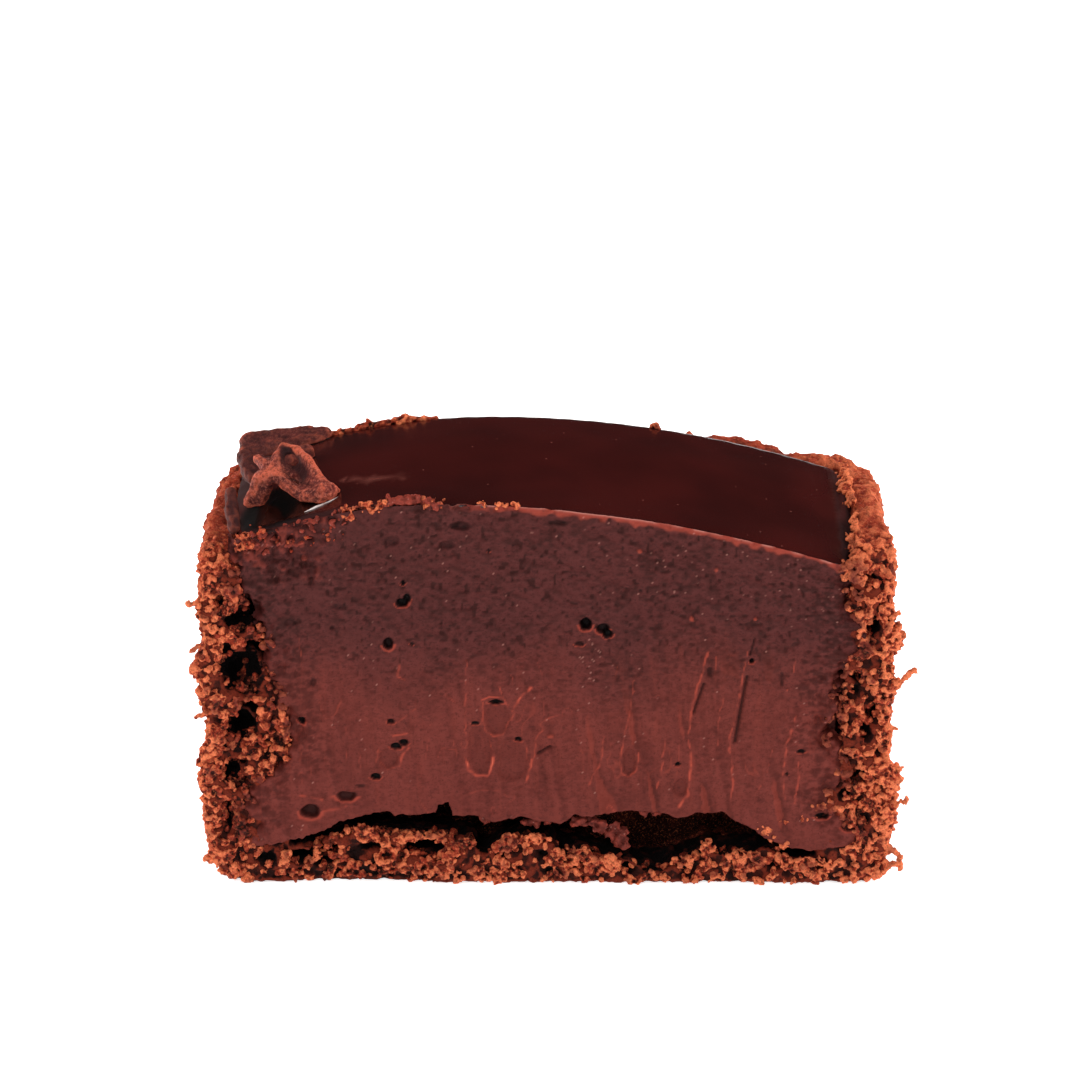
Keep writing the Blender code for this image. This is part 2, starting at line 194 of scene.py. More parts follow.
# %% [markdown]
# ## Light
# A white table and a white room wash the scene out, as in a bright studio.
# The room looks white, but the glaze mirrors a dark one, so that it stays
# nearly black. Most of the lamps are hidden from it for the same reason.

# %% Room
scene.world = bpy.data.worlds.new("studio")
scene.world.use_nodes = True
room = scene.world.node_tree
room.nodes.clear()
ray = room.nodes.new("ShaderNodeLightPath")


def backdrop(strength, tint):
    made = room.nodes.new("ShaderNodeBackground")
    made.inputs["Strength"].default_value = strength
    made.inputs["Color"].default_value = (*tint, 1)
    return made


def by_ray(kind, others, these):
    """One backdrop for this kind of ray, and another for all others."""
    made = room.nodes.new("ShaderNodeMixShader")
    for index, output in enumerate((ray.outputs[kind], others.outputs[0], these.outputs[0])):
        room.links.new(output, made.inputs[index])
    return made


felt = backdrop(0.3, (1.0, 0.97, 0.96))
mirrored = backdrop(0.02, (0.8, 0.8, 0.8))
seen = backdrop(1.1, (1.0, 1.0, 1.0))
whole = by_ray("Is Camera Ray", by_ray("Is Glossy Ray", felt, mirrored), seen)
out = room.nodes.new("ShaderNodeOutputWorld")
room.links.new(whole.outputs[0], out.inputs["Surface"])
print(len(room.nodes), "nodes in the room")

# %% Lamps
WHITE, WARM = (1, 1, 1), (1.0, 0.93, 0.88)
# Name, place, aim and size in mm, power in W, tint, and whether the glaze mirrors it.
LAMPS = (
    ("front_box", (-120, -330, 240), (0, -10, 12), (260, 200), 0.58, WHITE, True),
    ("right_box", (260, -120, 200), (0, 0, 12), (160, 160), 0.25, WHITE, True),
    ("left_edge_box", (-230, 90, 90), (0, 0, 14), (160, 160), 0.58, WARM, False),
    ("right_edge_box", (230, 90, 90), (0, 0, 14), (160, 160), 0.75, WARM, False),
    ("top_box", (0, 30, 260), (0, 0, 14), (200, 160), 0.16, WHITE, False),
    ("back_box", (-60, 300, 60), (0, 0, 15), (420, 100), 0.6, WHITE, False))
for name, place, aim, size, power, tint, is_mirrored in LAMPS:
    lamp = bpy.data.lights.new(name, "AREA")
    lamp.shape = "RECTANGLE"
    lamp.size, lamp.size_y = size[0] * MM, size[1] * MM
    lamp.energy, lamp.color = power, tint
    holder = bpy.data.objects.new(name, lamp)
    scene.collection.objects.link(holder)
    holder.location = Vector(place) * MM
    holder.rotation_mode = "QUATERNION"
    holder.rotation_quaternion = (Vector(aim) * MM - holder.location).to_track_quat("-Z", "Y")
    holder.visible_glossy = is_mirrored
print("lamps:", [name for name, *_ in LAMPS])

# %% Table
HALF = 4             # half of the table's width, in m
floor_mesh = bpy.data.meshes.new("floor")
corners = [(-HALF, -HALF, 0), (HALF, -HALF, 0), (HALF, HALF, 0), (-HALF, HALF, 0)]
floor_mesh.from_pydata(corners, [], [(0, 1, 2, 3)])
floor = bpy.data.objects.new("floor", floor_mesh)
scene.collection.objects.link(floor)
floor_mesh.materials.append(Paint("white table").finish(
    Base_Color=(0.9, 0.9, 0.9, 1), Roughness=0.9,
    Emission_Color=(1, 0.995, 0.99, 1), Emission_Strength=0.75))
print("table", 2 * HALF, "m wide")

# %% [markdown]
# ## Number tools
# Crumbs and knife marks need hundreds of thousands of points, so they are
# shaped as arrays. All lengths in these tools are millimetres.

# %% Noise
def lattice(points, seed=0):
    """Smooth noise from -1 to 1 at each point, with features about 1 wide."""
    base = np.floor(points).astype(np.int64)
    part = points - base
    part = part * part * (3 - 2 * part)
    total = np.zeros(len(points))
    for corner in range(8):
        step = np.array([corner & 1, corner >> 1 & 1, corner >> 2 & 1])
        spot = (base + step) & 0xFFFFFF
        # The corner's whole numbers, scrambled until they look random.
        key = spot[:, 0] * 73856093 ^ spot[:, 1] * 19349663 ^ spot[:, 2] * 83492791
        key = (key + seed * 2654435761) & 0xFFFFFFFF
        key = ((key ^ (key >> 15)) * 2246822519) & 0xFFFFFFFF
        key = ((key ^ (key >> 13)) * 3266489917) & 0xFFFFFFFF
        value = ((key ^ (key >> 16)) & 0xFFFFFF) / 8388607.5 - 1
        weight = np.where(step == 1, part, 1 - part).prod(axis=1)
        total += value * weight
    return total


def layered(points, seed=0, layers=3, gain=0.5):
    """Noise on several scales, each half the size of the last."""
    total, size = np.zeros(len(points)), 1.0
    for layer in range(layers):
        total += size * lattice(points * 2**layer, seed + layer * 17)
        size *= gain
    return total


def over(*axes):
    """Points for the noise from one list per axis; a 0 leaves an axis out."""
    return np.stack([np.zeros_like(axes[0]) + axis for axis in axes], axis=1)


def step_up(low, high, value):
    """0 at low, 1 at high, and smooth between; low may be the larger."""
    share = np.clip((value - low) / (high - low), 0, 1)
    return share * share * (3 - 2 * share)


def line_through(spots):
    """The line through (a, b) spots, as a function that gives b at a."""
    first, second = np.array(spots).T
    return lambda at: np.interp(at, first, second)


print("noise ready")

# %% Mesh tools
def solid_copy(node):
    """The solid's mesh with its faces sewn together, as a new bmesh."""
    bm = bmesh.new()
    bm.from_mesh(nodes[node].data)
    bmesh.ops.remove_doubles(bm, verts=bm.verts, dist=0.002 * MM)
    return bm


def object_of(bm, name):
    mesh = bpy.data.meshes.new(name)
    bm.to_mesh(mesh)
    bm.free()
    obj = bpy.data.objects.new(name, mesh)
    scene.collection.objects.link(obj)
    return obj


def arrays_of(obj):
    """(points in mm, triangles) of an object's mesh."""
    mesh = obj.data
    mesh.calc_loop_triangles()
    points = np.empty(len(mesh.vertices) * 3)
    mesh.vertices.foreach_get("co", points)
    faces = np.empty(len(mesh.loop_triangles) * 3, np.int32)
    mesh.loop_triangles.foreach_get("vertices", faces)
    return points.reshape(-1, 3) / MM, faces.reshape(-1, 3)


def new_object(name, points, faces, material=None):
    """A smooth object from points in mm and faces with equally many sides."""
    mesh = bpy.data.meshes.new(name)
    mesh.vertices.add(len(points))
    mesh.vertices.foreach_set("co", (np.asarray(points) * MM).ravel())
    faces = np.asarray(faces, np.int32)
    count, sides = faces.shape
    mesh.loops.add(count * sides)
    mesh.loops.foreach_set("vertex_index", faces.ravel())
    mesh.polygons.add(count)
    mesh.polygons.foreach_set("loop_start", np.arange(0, count * sides, sides, dtype=np.int32))
    mesh.update(calc_edges=True)
    mesh.validate()
    mesh.shade_smooth()
    obj = bpy.data.objects.new(name, mesh)
    scene.collection.objects.link(obj)
    if material:
        mesh.materials.append(material)
    return obj


def bake(obj):
    """Puts the modified mesh in place of the modifiers."""
    graph = bpy.context.evaluated_depsgraph_get()
    mesh = bpy.data.meshes.new_from_object(obj.evaluated_get(graph))
    obj.modifiers.clear()
    old, obj.data = obj.data, mesh
    bpy.data.meshes.remove(old)
    return obj


def even_mesh(obj, voxel):
    step = obj.modifiers.new("even mesh", "REMESH")
    step.mode = "VOXEL"
    step.voxel_size = voxel * MM
    return bake(obj)


def normals_of(obj):
    normals = np.empty(len(obj.data.vertices) * 3)
    obj.data.vertices.foreach_get("normal", normals)
    return normals.reshape(-1, 3)


def move_to(obj, points):
    obj.data.vertices.foreach_set("co", (points * MM).ravel())
    obj.data.update()


def store(obj, **numbers):
    """Keeps numbers for each point under their names, for the material to read."""
    for name, values in numbers.items():
        layer = obj.data.attributes.new(name, "FLOAT", "POINT")
        spread = np.zeros(len(layer.data), np.float32)
        spread[:] = values
        layer.data.foreach_set("value", spread)


def relaxed(obj, points, rounds):
    """The points after each has moved to the mean of its neighbours, some rounds."""
    edges = np.empty(len(obj.data.edges) * 2, np.int32)
    obj.data.edges.foreach_get("vertices", edges)
    first, second = edges.reshape(-1, 2).T
    count = np.bincount(edges, minlength=len(points))[:, None]
    for _ in range(rounds):
        total = np.stack([
            np.bincount(first, points[second, axis], len(points))
            + np.bincount(second, points[first, axis], len(points))
            for axis in range(3)
        ], axis=1)
        points = total / np.maximum(count, 1)
    return points


def standing_out(obj, points, soft):
    """How far each point stands out of a softer shape, along its normal."""
    return ((points - soft) * normals_of(obj)).sum(axis=1)


def dress(piece, node):
    """Shows the piece in the place of a node's solid, and moves it with the part."""
    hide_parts(node)
    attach(piece, "root")
    print(piece.name, triangle_count(piece), "triangles")


def triangle_count(obj):
    return sum(len(face.vertices) - 2 for face in obj.data.polygons)


def joined(*parts):
    """Several (points, faces) as one."""
    points, faces, start = [], [], 0
    for more_points, more_faces in parts:
        points.append(more_points)
        faces.append(np.asarray(more_faces) + start)
        start += len(more_points)
    return np.concatenate(points), np.concatenate(faces)


def thin_out(obj, most):
    """Fewer triangles, taken from the flattest places first."""
    count = triangle_count(obj)
    if count > most:
        step = obj.modifiers.new("thin out", "DECIMATE")
        step.ratio = most / count
        bake(obj)
    return obj


print("mesh tools ready")

# %% [markdown]
# ## Pastry
# Cocoa shortcrust breaks into grains, so a smooth wall with a bumpy paint
# never looks right. The real broken end is a dark, open crumb with lit lumps
# standing in front of it. It is made the same way here: a dark pitted wall
# with caves in it, and then thousands of small angular grains, grown
# together into crumb by a voxel remesh.

# %% Pastry materials
paint = Paint("pastry wall")
deep, tip, outer = (paint.painted(name) for name in ("deep", "tip", "outer"))
warm = paint.noise(900.0, 3.0)
speck = paint.noise(6200.0, 3.0, 0.7)
# The wall shows only in the gaps between the grains, so its colours are dark: painted shade.
wall_colour = paint.coats(
    paint.mix(warm.ramp(0.3, 0.7), colour(36, 11, 8), colour(70, 24, 15)),
    # Painted light: lighter where the wall stands proud.
    (tip.ramp(0.55, 1.0), colour(118, 42, 25)),
    (speck.ramp(0.5, 0.7) * 0.7, colour(30, 9, 7)),
    (outer, paint.mix(speck.ramp(0.4, 0.6), colour(124, 48, 32), colour(96, 36, 25))),
    # Painted shade: near black deep behind the cut.
    (deep, colour(9, 2, 2)))
PASTRY = paint.finish(
    Base_Color=wall_colour, Roughness=0.8, Specular_IOR_Level=0.15,
    Normal=paint.bump(speck + warm * 0.8, 1.0, 0.0002))

paint = Paint("pastry crumb")
tone, coat, calm = (paint.painted(name) for name in ("tone", "coat", "calm"))
fine = paint.noise(7000.0, 4.0, 0.75)
patch = paint.noise(2400.0, 3.0, 0.6)
crumb_colour = paint.coats(
    # The tone mixes each grain's own colour with painted light and painted shade.
    paint.mix(tone.ramp(0.0, 0.34), colour(32, 9, 8), colour(98, 33, 24)),
    (tone.ramp(0.28, 0.68), colour(177, 62, 40)),
    (tone.ramp(0.62, 1.0), colour(252, 134, 88)),
    (fine.ramp(0.5, 0.62) * 0.4, colour(90, 28, 20)),
    (fine.ramp(0.47, 0.37) * 0.5, colour(254, 146, 98)),
    (patch.ramp(0.48, 0.32) * 0.6, colour(76, 22, 13)),
    (coat, paint.mix(tone.ramp(0.15, 0.8), colour(40, 14, 13), colour(118, 50, 41))),
    (calm, colour(106, 50, 36)))
CRUMB = paint.finish(
    Base_Color=crumb_colour, Roughness=0.7, Specular_IOR_Level=0.15,
    Normal=paint.bump(fine + patch * 1.2, 1.0, 0.0002))
print("materials:", PASTRY.name, "and", CRUMB.name)

# %% Pastry shapes
SLAB = 5.0           # depth of the finely made slab behind the cut, in mm
FOOT = 2.2           # radius of the solid's lower edges, which the broken front hasn't got
OPENING = 19.3       # half width of the gap under the filling
OPENING_TOP = 8.5
# The top of the pastry base along the cut: (x, z). The filling has let go of it.
BASE_TOP = (
    (-19.5, 3.0), (-17.9, 3.2), (-16.5, 3.6), (-15.6, 4.1), (-14.8, 4.3), (-12.6, 4.5),
    (-12.3, 4.1), (-7.6, 4.0), (-5.6, 3.5), (-5.0, 2.3), (-4.4, 2.7), (-3.9, 3.4), (-2.2, 3.9),
    (0.3, 3.5), (0.7, 2.7), (2.8, 2.7), (3.5, 2.3), (5.6, 2.0), (6.3, 1.6), (7.8, 1.4), (9.9, 2.0),
    (11.2, 2.7), (13.4, 2.6), (16.3, 2.7), (17.9, 2.1), (19.6, 2.2))
# The edges of the filling's face, from the base up and from left to right: (z, x), (z, x), (x, z).
LEFT_EDGE = (
    (2.9, -21.2), (3.6, -22.0), (5.9, -21.8), (7.8, -21.3), (8.6, -20.0), (9.7, -18.9),
    (12.8, -18.9), (15.1, -19.2), (16.5, -20.0), (17.8, -19.7), (18.9, -20.2), (20.4, -20.6),
    (21.5, -20.7), (22.6, -22.3), (24.9, -22.4), (27.0, -22.6))
RIGHT_EDGE = (
    (2.6, 22.2), (4.3, 22.1), (5.7, 20.6), (6.6, 19.9), (8.0, 20.9), (9.5, 21.1), (10.9, 20.1),
    (11.7, 19.7), (13.2, 20.2), (16.1, 20.5), (17.1, 21.2), (18.3, 22.0), (20.5, 21.8),
    (22.0, 21.1), (24.3, 20.9), (24.8, 21.6))
BOTTOM_EDGE = (
    (-22.2, 3.1), (-21.0, 3.0), (-18.9, 3.6), (-17.1, 4.1), (-15.6, 4.8), (-14.2, 5.3),
    (-13.5, 5.6), (-12.1, 5.7), (-11.7, 5.8), (-11.3, 5.5), (-9.3, 5.6), (-8.3, 5.7), (-8.1, 6.5),
    (-7.4, 6.5), (-7.1, 5.6), (-5.0, 5.4), (-4.1, 5.0), (-2.2, 5.3), (-0.8, 5.0), (0.7, 4.8),
    (1.7, 5.4), (3.5, 5.5), (4.9, 5.8), (7.1, 5.8), (9.2, 5.4), (12.4, 5.8), (13.4, 5.0),
    (14.4, 4.6), (15.1, 4.1), (16.3, 3.4), (17.5, 2.9), (19.1, 2.7), (21.2, 2.9), (22.2, 3.4))
# Caves in the broken pastry: (x, z, half width, half height, depth).
CAVES = (
    (-22.0, 20.5, 1.5, 0.8, 1.6), (-23.4, 21.9, 0.4, 0.4, 1.0), (-21.8, 16.8, 1.65, 1.9, 3.4),
    (-23.2, 17.9, 0.5, 0.9, 1.8), (-21.9, 12.6, 1.0, 1.3, 3.2), (-23.0, 11.9, 0.7, 0.7, 1.8),
    (-22.6, 8.4, 0.7, 1.2, 2.6), (-24.2, 12.5, 0.5, 0.3, 1.0), (-24.2, 9.8, 0.55, 0.4, 1.0),
    (-23.4, 5.1, 0.45, 1.3, 1.6), (-20.6, 2.0, 0.9, 0.4, 1.2), (-18.0, 2.4, 1.2, 0.9, 3.0),
    (-16.2, 1.7, 1.6, 0.4, 2.0), (-9.2, 2.6, 1.7, 0.62, 3.0), (-12.7, 2.9, 1.0, 0.25, 1.4),
    (-3.5, 2.4, 0.9, 0.3, 1.4), (-0.6, 2.3, 0.5, 0.3, 1.2), (1.6, 1.7, 0.7, 0.25, 1.2),
    (5.6, 1.5, 0.5, 0.4, 1.5), (13.2, 1.9, 0.8, 0.3, 1.2), (16.2, 1.5, 0.6, 0.3, 1.2),
    (18.9, 2.3, 1.0, 0.3, 1.4), (22.6, 23.3, 0.45, 0.45, 1.2), (23.2, 19.4, 0.65, 1.0, 1.8),
    (21.8, 15.9, 0.4, 0.4, 1.2), (22.2, 15.0, 0.5, 0.45, 1.4), (23.6, 13.3, 0.4, 0.4, 1.2),
    (23.0, 12.0, 0.5, 0.85, 1.8), (23.7, 10.0, 0.45, 0.35, 1.0), (21.5, 7.0, 0.6, 0.4, 1.2),
    (23.0, 5.0, 0.45, 0.45, 1.0), (19.0, 5.6, 0.6, 0.3, 1.2), (20.5, 5.2, 0.5, 0.3, 1.2),
    (24.0, 7.6, 0.4, 0.35, 1.0))
base_top, left_edge, right_edge, bottom_edge = (
    line_through(spots) for spots in (BASE_TOP, LEFT_EDGE, RIGHT_EDGE, BOTTOM_EDGE))
print(len(CAVES), "caves in the broken pastry")


# %% Pastry wall
def cave_reaches(points, grow=0.0):
    """For each cave, its depth and how far out each point lies, 1 on the cave's rim."""
    wobble = 0.5 * layered(points / 0.6, 12, 3)
    for cx, cz, wide, tall, far in CAVES:
        across, up = (points[:, 0] - cx) / (wide + grow), (points[:, 2] - cz) / (tall + grow)
        yield far, np.hypot(across, up) + wobble


def in_caves(points, grow=0.0):
    """1 at the heart of a cave, 0 outside them all."""
    found = np.zeros(len(points))
    for _, reach in cave_reaches(points, grow):
        found = np.maximum(found, step_up(1.15, 0.75, reach))
    return found


def pastry_wall(name, keep_low, keep_high, voxel):
    """The pastry between two depths behind the cut, pitted and hollowed."""
    bm = solid_copy("crust")
    for depth, side in ((keep_low, -1), (keep_high, 1)):
        if depth is not None:
            place = (0, (CUT + depth) * MM, 0)
            whole = bm.verts[:] + bm.edges[:] + bm.faces[:]
            bmesh.ops.bisect_plane(
                bm, geom=whole, plane_co=place, plane_no=(0, side, 0), clear_outer=True)
            bmesh.ops.holes_fill(bm, edges=[e for e in bm.edges if e.is_boundary])
    wall = even_mesh(object_of(bm, name), voxel)
    points, _ = arrays_of(wall)
    facing = normals_of(wall)
    x, y, z = points.T                       # views: a change to them moves the points

    lowered = base_top(x) - 0.3 + 0.3 * layered(points / 0.8, 14, 2)
    in_opening = (np.abs(x) < OPENING) & (y < CUT + SLAB + 2) & (z < OPENING_TOP)
    sunk = np.where(in_opening, np.minimum(z, lowered), z)

    under = np.clip(FOOT - z, 0, FOOT)
    rounded = FOOT - np.sqrt(FOOT**2 - under**2)
    rounded = rounded * step_up(-24.5, -21.0, x) * step_up(24.4, 22.0, x)
    y -= rounded * np.clip((CUT + SLAB - y) / (SLAB - FOOT - 0.2), 0, 1)

    at_cut = step_up(1.4, 0.2, y - CUT) * step_up(0.2, 0.7, -facing[:, 1])
    pits = 0.35 + 0.7 * np.maximum(layered(points / 0.9, 5, 3), -0.2)
    for far, reach in cave_reaches(points):
        pits = np.maximum(pits, far * step_up(1.2, 0.8, reach))
    y += at_cut * pits
    z[:] = sunk

    off_table = z > 0.3
    skin = (1 - at_cut) * off_table * 0.2 * layered(points / 1.1, 9, 3)
    points += facing * (skin - 0.15 * (1 - at_cut) * off_table)[:, None]
    z[:] = np.maximum(z, 0.0)
    x -= 0.4 * step_up(20.5, 25.0, x)
    move_to(wall, points)
    return wall


def crumble(wall, fine):
    """Fine relief, and the numbers that the material colours by, painted light and shade among them."""
    points, _ = arrays_of(wall)
    points += normals_of(wall) * (fine * layered(points / 0.32, 21, 3))[:, None]
    points[:, 2] = np.maximum(points[:, 2], 0.0)
    move_to(wall, points)
    x, y, z = points.T
    proud = standing_out(wall, points, relaxed(wall, points, 8)) / 0.12
    inside = (np.abs(x) < 24.0) & (y < CUT + SLAB) & (z < 24.0)
    outermost = np.maximum(step_up(23.9, 24.6, np.abs(x)), step_up(24.4, 25.2, z))
    # The wall is stored with painted light where it stands proud and painted shade deep behind the cut.
    store(
        wall, tip=np.clip(0.4 + proud, 0, 1),
        deep=np.clip(inside * step_up(0.35, 1.2, y - CUT) - 0.2 * proud, 0, 1),
        outer=outermost * step_up(0.1, 0.5, y - CUT))
    return wall


front = even_mesh(pastry_wall("pastry_cut", None, SLAB, voxel=0.26), voxel=0.22)
front = thin_out(crumble(front, fine=0.14), most=80000)
front.data.materials.append(PASTRY)
front.data.shade_smooth()
dress(front, "crust")
front_points, front_faces = arrays_of(front)

# %% [markdown]
# ## Crumb
# Short pastry crumbles into angular grains from dust up to a millimetre, in
# clumps. Every clump starts as a core grain with finer ones stuck over it.
# The voxel remesh grows them together, a little noise roughens the result,
# and each point takes the tone of its nearest grain, with painted light where
# it stands proud and painted shade where it lies deep.

# %% Crumb tools
chance = np.random.default_rng(4)


def scatter(points, faces, per_mm2, wanted):
    """Random spots on a surface: (places, outward directions)."""
    corners = points[faces]
    across = np.cross(corners[:, 1] - corners[:, 0], corners[:, 2] - corners[:, 0])
    area = np.linalg.norm(across, axis=1)
    facing = across / np.maximum(area, 1e-9)[:, None]
    weight = area / 2 * wanted(corners.mean(axis=1), facing)
    count = int(weight.sum() * per_mm2)
    chosen = chance.choice(len(faces), count, p=weight / weight.sum())
    a, b = chance.random((2, count, 1))
    flip = (a + b) > 1
    a, b = np.where(flip, 1 - a, a), np.where(flip, 1 - b, b)
    one, two, three = corners[chosen].transpose(1, 0, 2)
    return one + a * (two - one) + b * (three - one), facing[chosen]


GOLD = (1 + 5**0.5) / 2
ICO_POINTS = np.array([
    (-1, GOLD, 0), (1, GOLD, 0), (-1, -GOLD, 0), (1, -GOLD, 0),
    (0, -1, GOLD), (0, 1, GOLD), (0, -1, -GOLD), (0, 1, -GOLD),
    (GOLD, 0, -1), (GOLD, 0, 1), (-GOLD, 0, -1), (-GOLD, 0, 1)]) / math.hypot(1, GOLD)
ICO_FACES = np.array([
    (0, 11, 5), (0, 5, 1), (0, 1, 7), (0, 7, 10), (0, 10, 11), (1, 5, 9), (5, 11, 4),
    (11, 10, 2), (10, 7, 6), (7, 1, 8), (3, 9, 4), (3, 4, 2), (3, 2, 6), (3, 6, 8),
    (3, 8, 9), (4, 9, 5), (2, 4, 11), (6, 2, 10), (8, 6, 7), (9, 8, 1)])


def turns(count):
    """Random rotations, as 3 by 3 arrays."""
    q = chance.normal(size=(count, 4))
    w, x, y, z = (q / np.linalg.norm(q, axis=1, keepdims=True)).T
    return np.array([
        [1 - 2 * (y * y + z * z), 2 * (x * y - z * w), 2 * (x * z + y * w)],
        [2 * (x * y + z * w), 1 - 2 * (x * x + z * z), 2 * (y * z - x * w)],
        [2 * (x * z - y * w), 2 * (y * z + x * w), 1 - 2 * (x * x + y * y)]]).transpose(2, 0, 1)


def stones(centres, radii):
    """Angular grains of 20 faces each, as one (points, faces)."""
    count = len(centres)
    shape = ICO_POINTS[None] * (1 + 0.35 * chance.uniform(-1, 1, (count, 12, 1)))
    shape = shape * chance.uniform(0.45, 1.45, (count, 1, 3))
    shape = np.einsum("nij,nkj->nki", turns(count), shape)
    points = shape * np.asarray(radii)[:, None, None] + np.asarray(centres)[:, None]
    faces = ICO_FACES[None] + 12 * np.arange(count)[:, None, None]
    return points.reshape(-1, 3), faces.reshape(-1, 3)


def clumps(spots, ways, most, core, dust):
    """Crumbs: a core grain with finer ones stuck over it: (centres, radii, tones)."""
    count = chance.integers(most // 2, most, len(spots))
    owner = np.repeat(np.arange(len(spots)), count)
    core_size = core[0] + (core[1] - core[0]) * chance.random(len(spots)) ** 1.6
    core_tone = chance.beta(1.3, 1.3, len(spots))
    push = chance.normal(size=(len(owner), 3)) + 0.9 * ways[owner]
    push /= np.linalg.norm(push, axis=1, keepdims=True)
    radii = dust[0] + (dust[1] - dust[0]) * chance.random(len(owner)) ** 2
    reach = core_size[owner] * chance.uniform(0.75, 1.2, len(owner))
    centres = spots[owner] + push * reach[:, None]
    tones = core_tone[owner] + 0.16 * chance.normal(size=len(owner))
    pairs = (spots, centres), (core_size, radii), (core_tone, tones)
    return [np.concatenate(pair) for pair in pairs]


def crumb_piece(name, grains, voxel, most, relief=0.05, contrast=1.0, behind=None):
    """Grains grown together into crumb; behind is a wall that they grow onto."""
    centres, radii, tones = (np.array(part) for part in grains)
    centres[:, 2] = np.maximum(centres[:, 2], radii * 0.75)
    shape = stones(centres, radii)
    if behind is not None:
        shape = joined(shape, behind)
    piece = thin_out(even_mesh(new_object(name, *shape, CRUMB), voxel), most)
    points, _ = arrays_of(piece)
    rough = relief * layered(points / 0.2, 23, 3) + 1.6 * relief * layered(points / 0.38, 24, 2)
    points += normals_of(piece) * rough[:, None]
    points[:, 2] = np.maximum(points[:, 2], 0.0)
    move_to(piece, points)
    soft = relaxed(piece, points, 12)
    proud = np.clip(standing_out(piece, points, soft) / 0.09, -1.0, 0.9)
    raised = np.clip(standing_out(piece, points, relaxed(piece, soft, 40)) / 0.22, -1, 0.7)
    tree = KDTree(len(centres))
    for index, centre in enumerate(centres):
        tree.insert(centre, index)
    tree.balance()
    near = np.array([tree.find(point)[1:] for point in points])
    tone = np.where(near[:, 1] < 1.2, tones[near[:, 0].astype(int)], 0.45)

    # The tone follows the grain and a slow noise, with painted light where the
    # crumb stands proud and faces up, painted shade in its hollows, and it grows
    # lighter towards the right and near the table.
    x, y, z = points.T
    depth = y - CUT
    tone = 0.13 + 0.5 * tone + 0.35 * proud + 0.3 * raised + 0.08 * normals_of(piece)[:, 2]
    tone += 0.12 * layered(points / 0.5, 25, 2) + 0.16 * layered(points / 2.2, 26, 2)
    tone += 0.0035 * x + 0.1 * step_up(5.0, 2.0, z)
    # Painted shade darkens the crumb deep between the walls, and painted light
    # brightens the rims and outer sides, the right rim most.
    between = (np.abs(x) < 23.9) & (z < 24.2) & (y < 11.5)
    tone -= (0.5 * step_up(0.35, 1.3, depth) + 0.5 * step_up(2.0, 5.0, depth)) * between
    on_rim = step_up(23.4, 25.0, z)
    edge = step_up(23.6, 24.8, np.abs(x)) - 0.2 * on_rim * step_up(1.0, 4.0, depth)
    edge += 1.3 * step_up(15.0, 22.0, x) * on_rim
    tone = 0.4 + contrast * (tone + 0.16 * edge - 0.4)
    calm = 1.3 * (1 - contrast) * step_up(0.4, 5.5, depth) * (1 - 0.7 * on_rim)

    # Chocolate smeared over the pastry beside the filling, and some flecks of it.
    to_filling = np.maximum(left_edge(z) - x, x - right_edge(z))
    to_filling = np.abs(to_filling + 0.5 * layered(points / 1.4, 28, 2))
    smeared = step_up(1.7, 0.5, to_filling) * step_up(3.0, 4.5, z) * step_up(25.4, 24.0, z)
    smeared = smeared * step_up(-0.5, 0.1, layered(points / 0.7, 29, 2)) * (depth < 3)
    flecks = 0.7 * contrast**2 * step_up(0.3, 0.7, layered(points / 0.8, 30, 2))
    store(
        piece, tone=np.clip(tone, 0, 1), calm=~between * calm,
        coat=0.85 * np.maximum(smeared, flecks))
    piece.data.shade_smooth()
    print(len(centres), "grains")
    dress(piece, "crust")


# %% Crumb on the broken ends
def broken_end(low_x, high_x, low_z, high_z):
    """A weight for scatter(): this window of the broken end, bare in the caves."""
    def weight(spots, facing):
        x, depth, z = spots[:, 0], spots[:, 1] - CUT, spots[:, 2]
        window = (x > low_x) & (x < high_x) & (z > low_z) & (z < high_z) & (depth < 1.7)
        hollow = step_up(0.45, 0.9, in_caves(spots))
        between = (x > left_edge(z) + 0.1) & (x < right_edge(z) - 0.1)
        smeared = between & (z > bottom_edge(x) - 1.0)
        on_base = (np.abs(x) < OPENING) & (z > base_top(x) - 0.35) & (z < OPENING_TOP)
        patchy = 0.35 + np.clip(1.2 * layered(spots / 1.3, 19, 2) + 0.6, 0, 1.5)
        outermost = 1 + 1.0 * step_up(23.4, 24.2, np.abs(x))
        return window * (1 - hollow) * ~smeared * ~on_base * (z > 0.15) * patchy * outermost
    return weight


# Lumps of pastry around the gap under the filling: (x, z, half width, half height, tone).
LUMPS = (
    (-13.8, 4.25, 1.3, 0.3, 0.5), (-9.3, 3.75, 1.5, 0.25, 0.85), (-6.3, 3.2, 0.8, 0.4, 0.3),
    (-3.0, 3.4, 0.8, 0.5, 0.8), (-1.2, 3.5, 1.2, 0.45, 0.85), (2.1, 2.2, 1.3, 0.5, 0.65),
    (4.3, 1.9, 0.5, 0.45, 0.95), (11.4, 2.8, 0.55, 0.5, 1.0), (9.7, 1.8, 0.9, 0.35, 0.8),
    (15.0, 4.6, 0.4, 0.4, 1.0), (15.7, 4.15, 0.45, 0.35, 0.75), (16.4, 3.6, 0.5, 0.3, 0.65),
    (17.1, 3.1, 0.45, 0.25, 0.7), (18.9, 1.6, 1.6, 0.6, 0.8), (22.2, 2.7, 1.2, 0.35, 0.9),
    (-22.2, 3.4, 0.4, 0.12, 1.2), (-24.0, 2.3, 0.6, 0.6, 0.9), (-21.5, 26.1, 0.8, 0.55, 1.0),
    (19.6, 6.1, 0.7, 0.2, 0.6), (18.7, 5.3, 0.9, 0.15, 0.4), (17.2, 5.0, 0.6, 0.1, 0.5),
    (-12.0, 1.6, 1.5, 0.35, 0.75), (-8.2, 1.0, 1.8, 0.4, 0.85), (14.2, 2.3, 1.2, 0.3, 0.7))


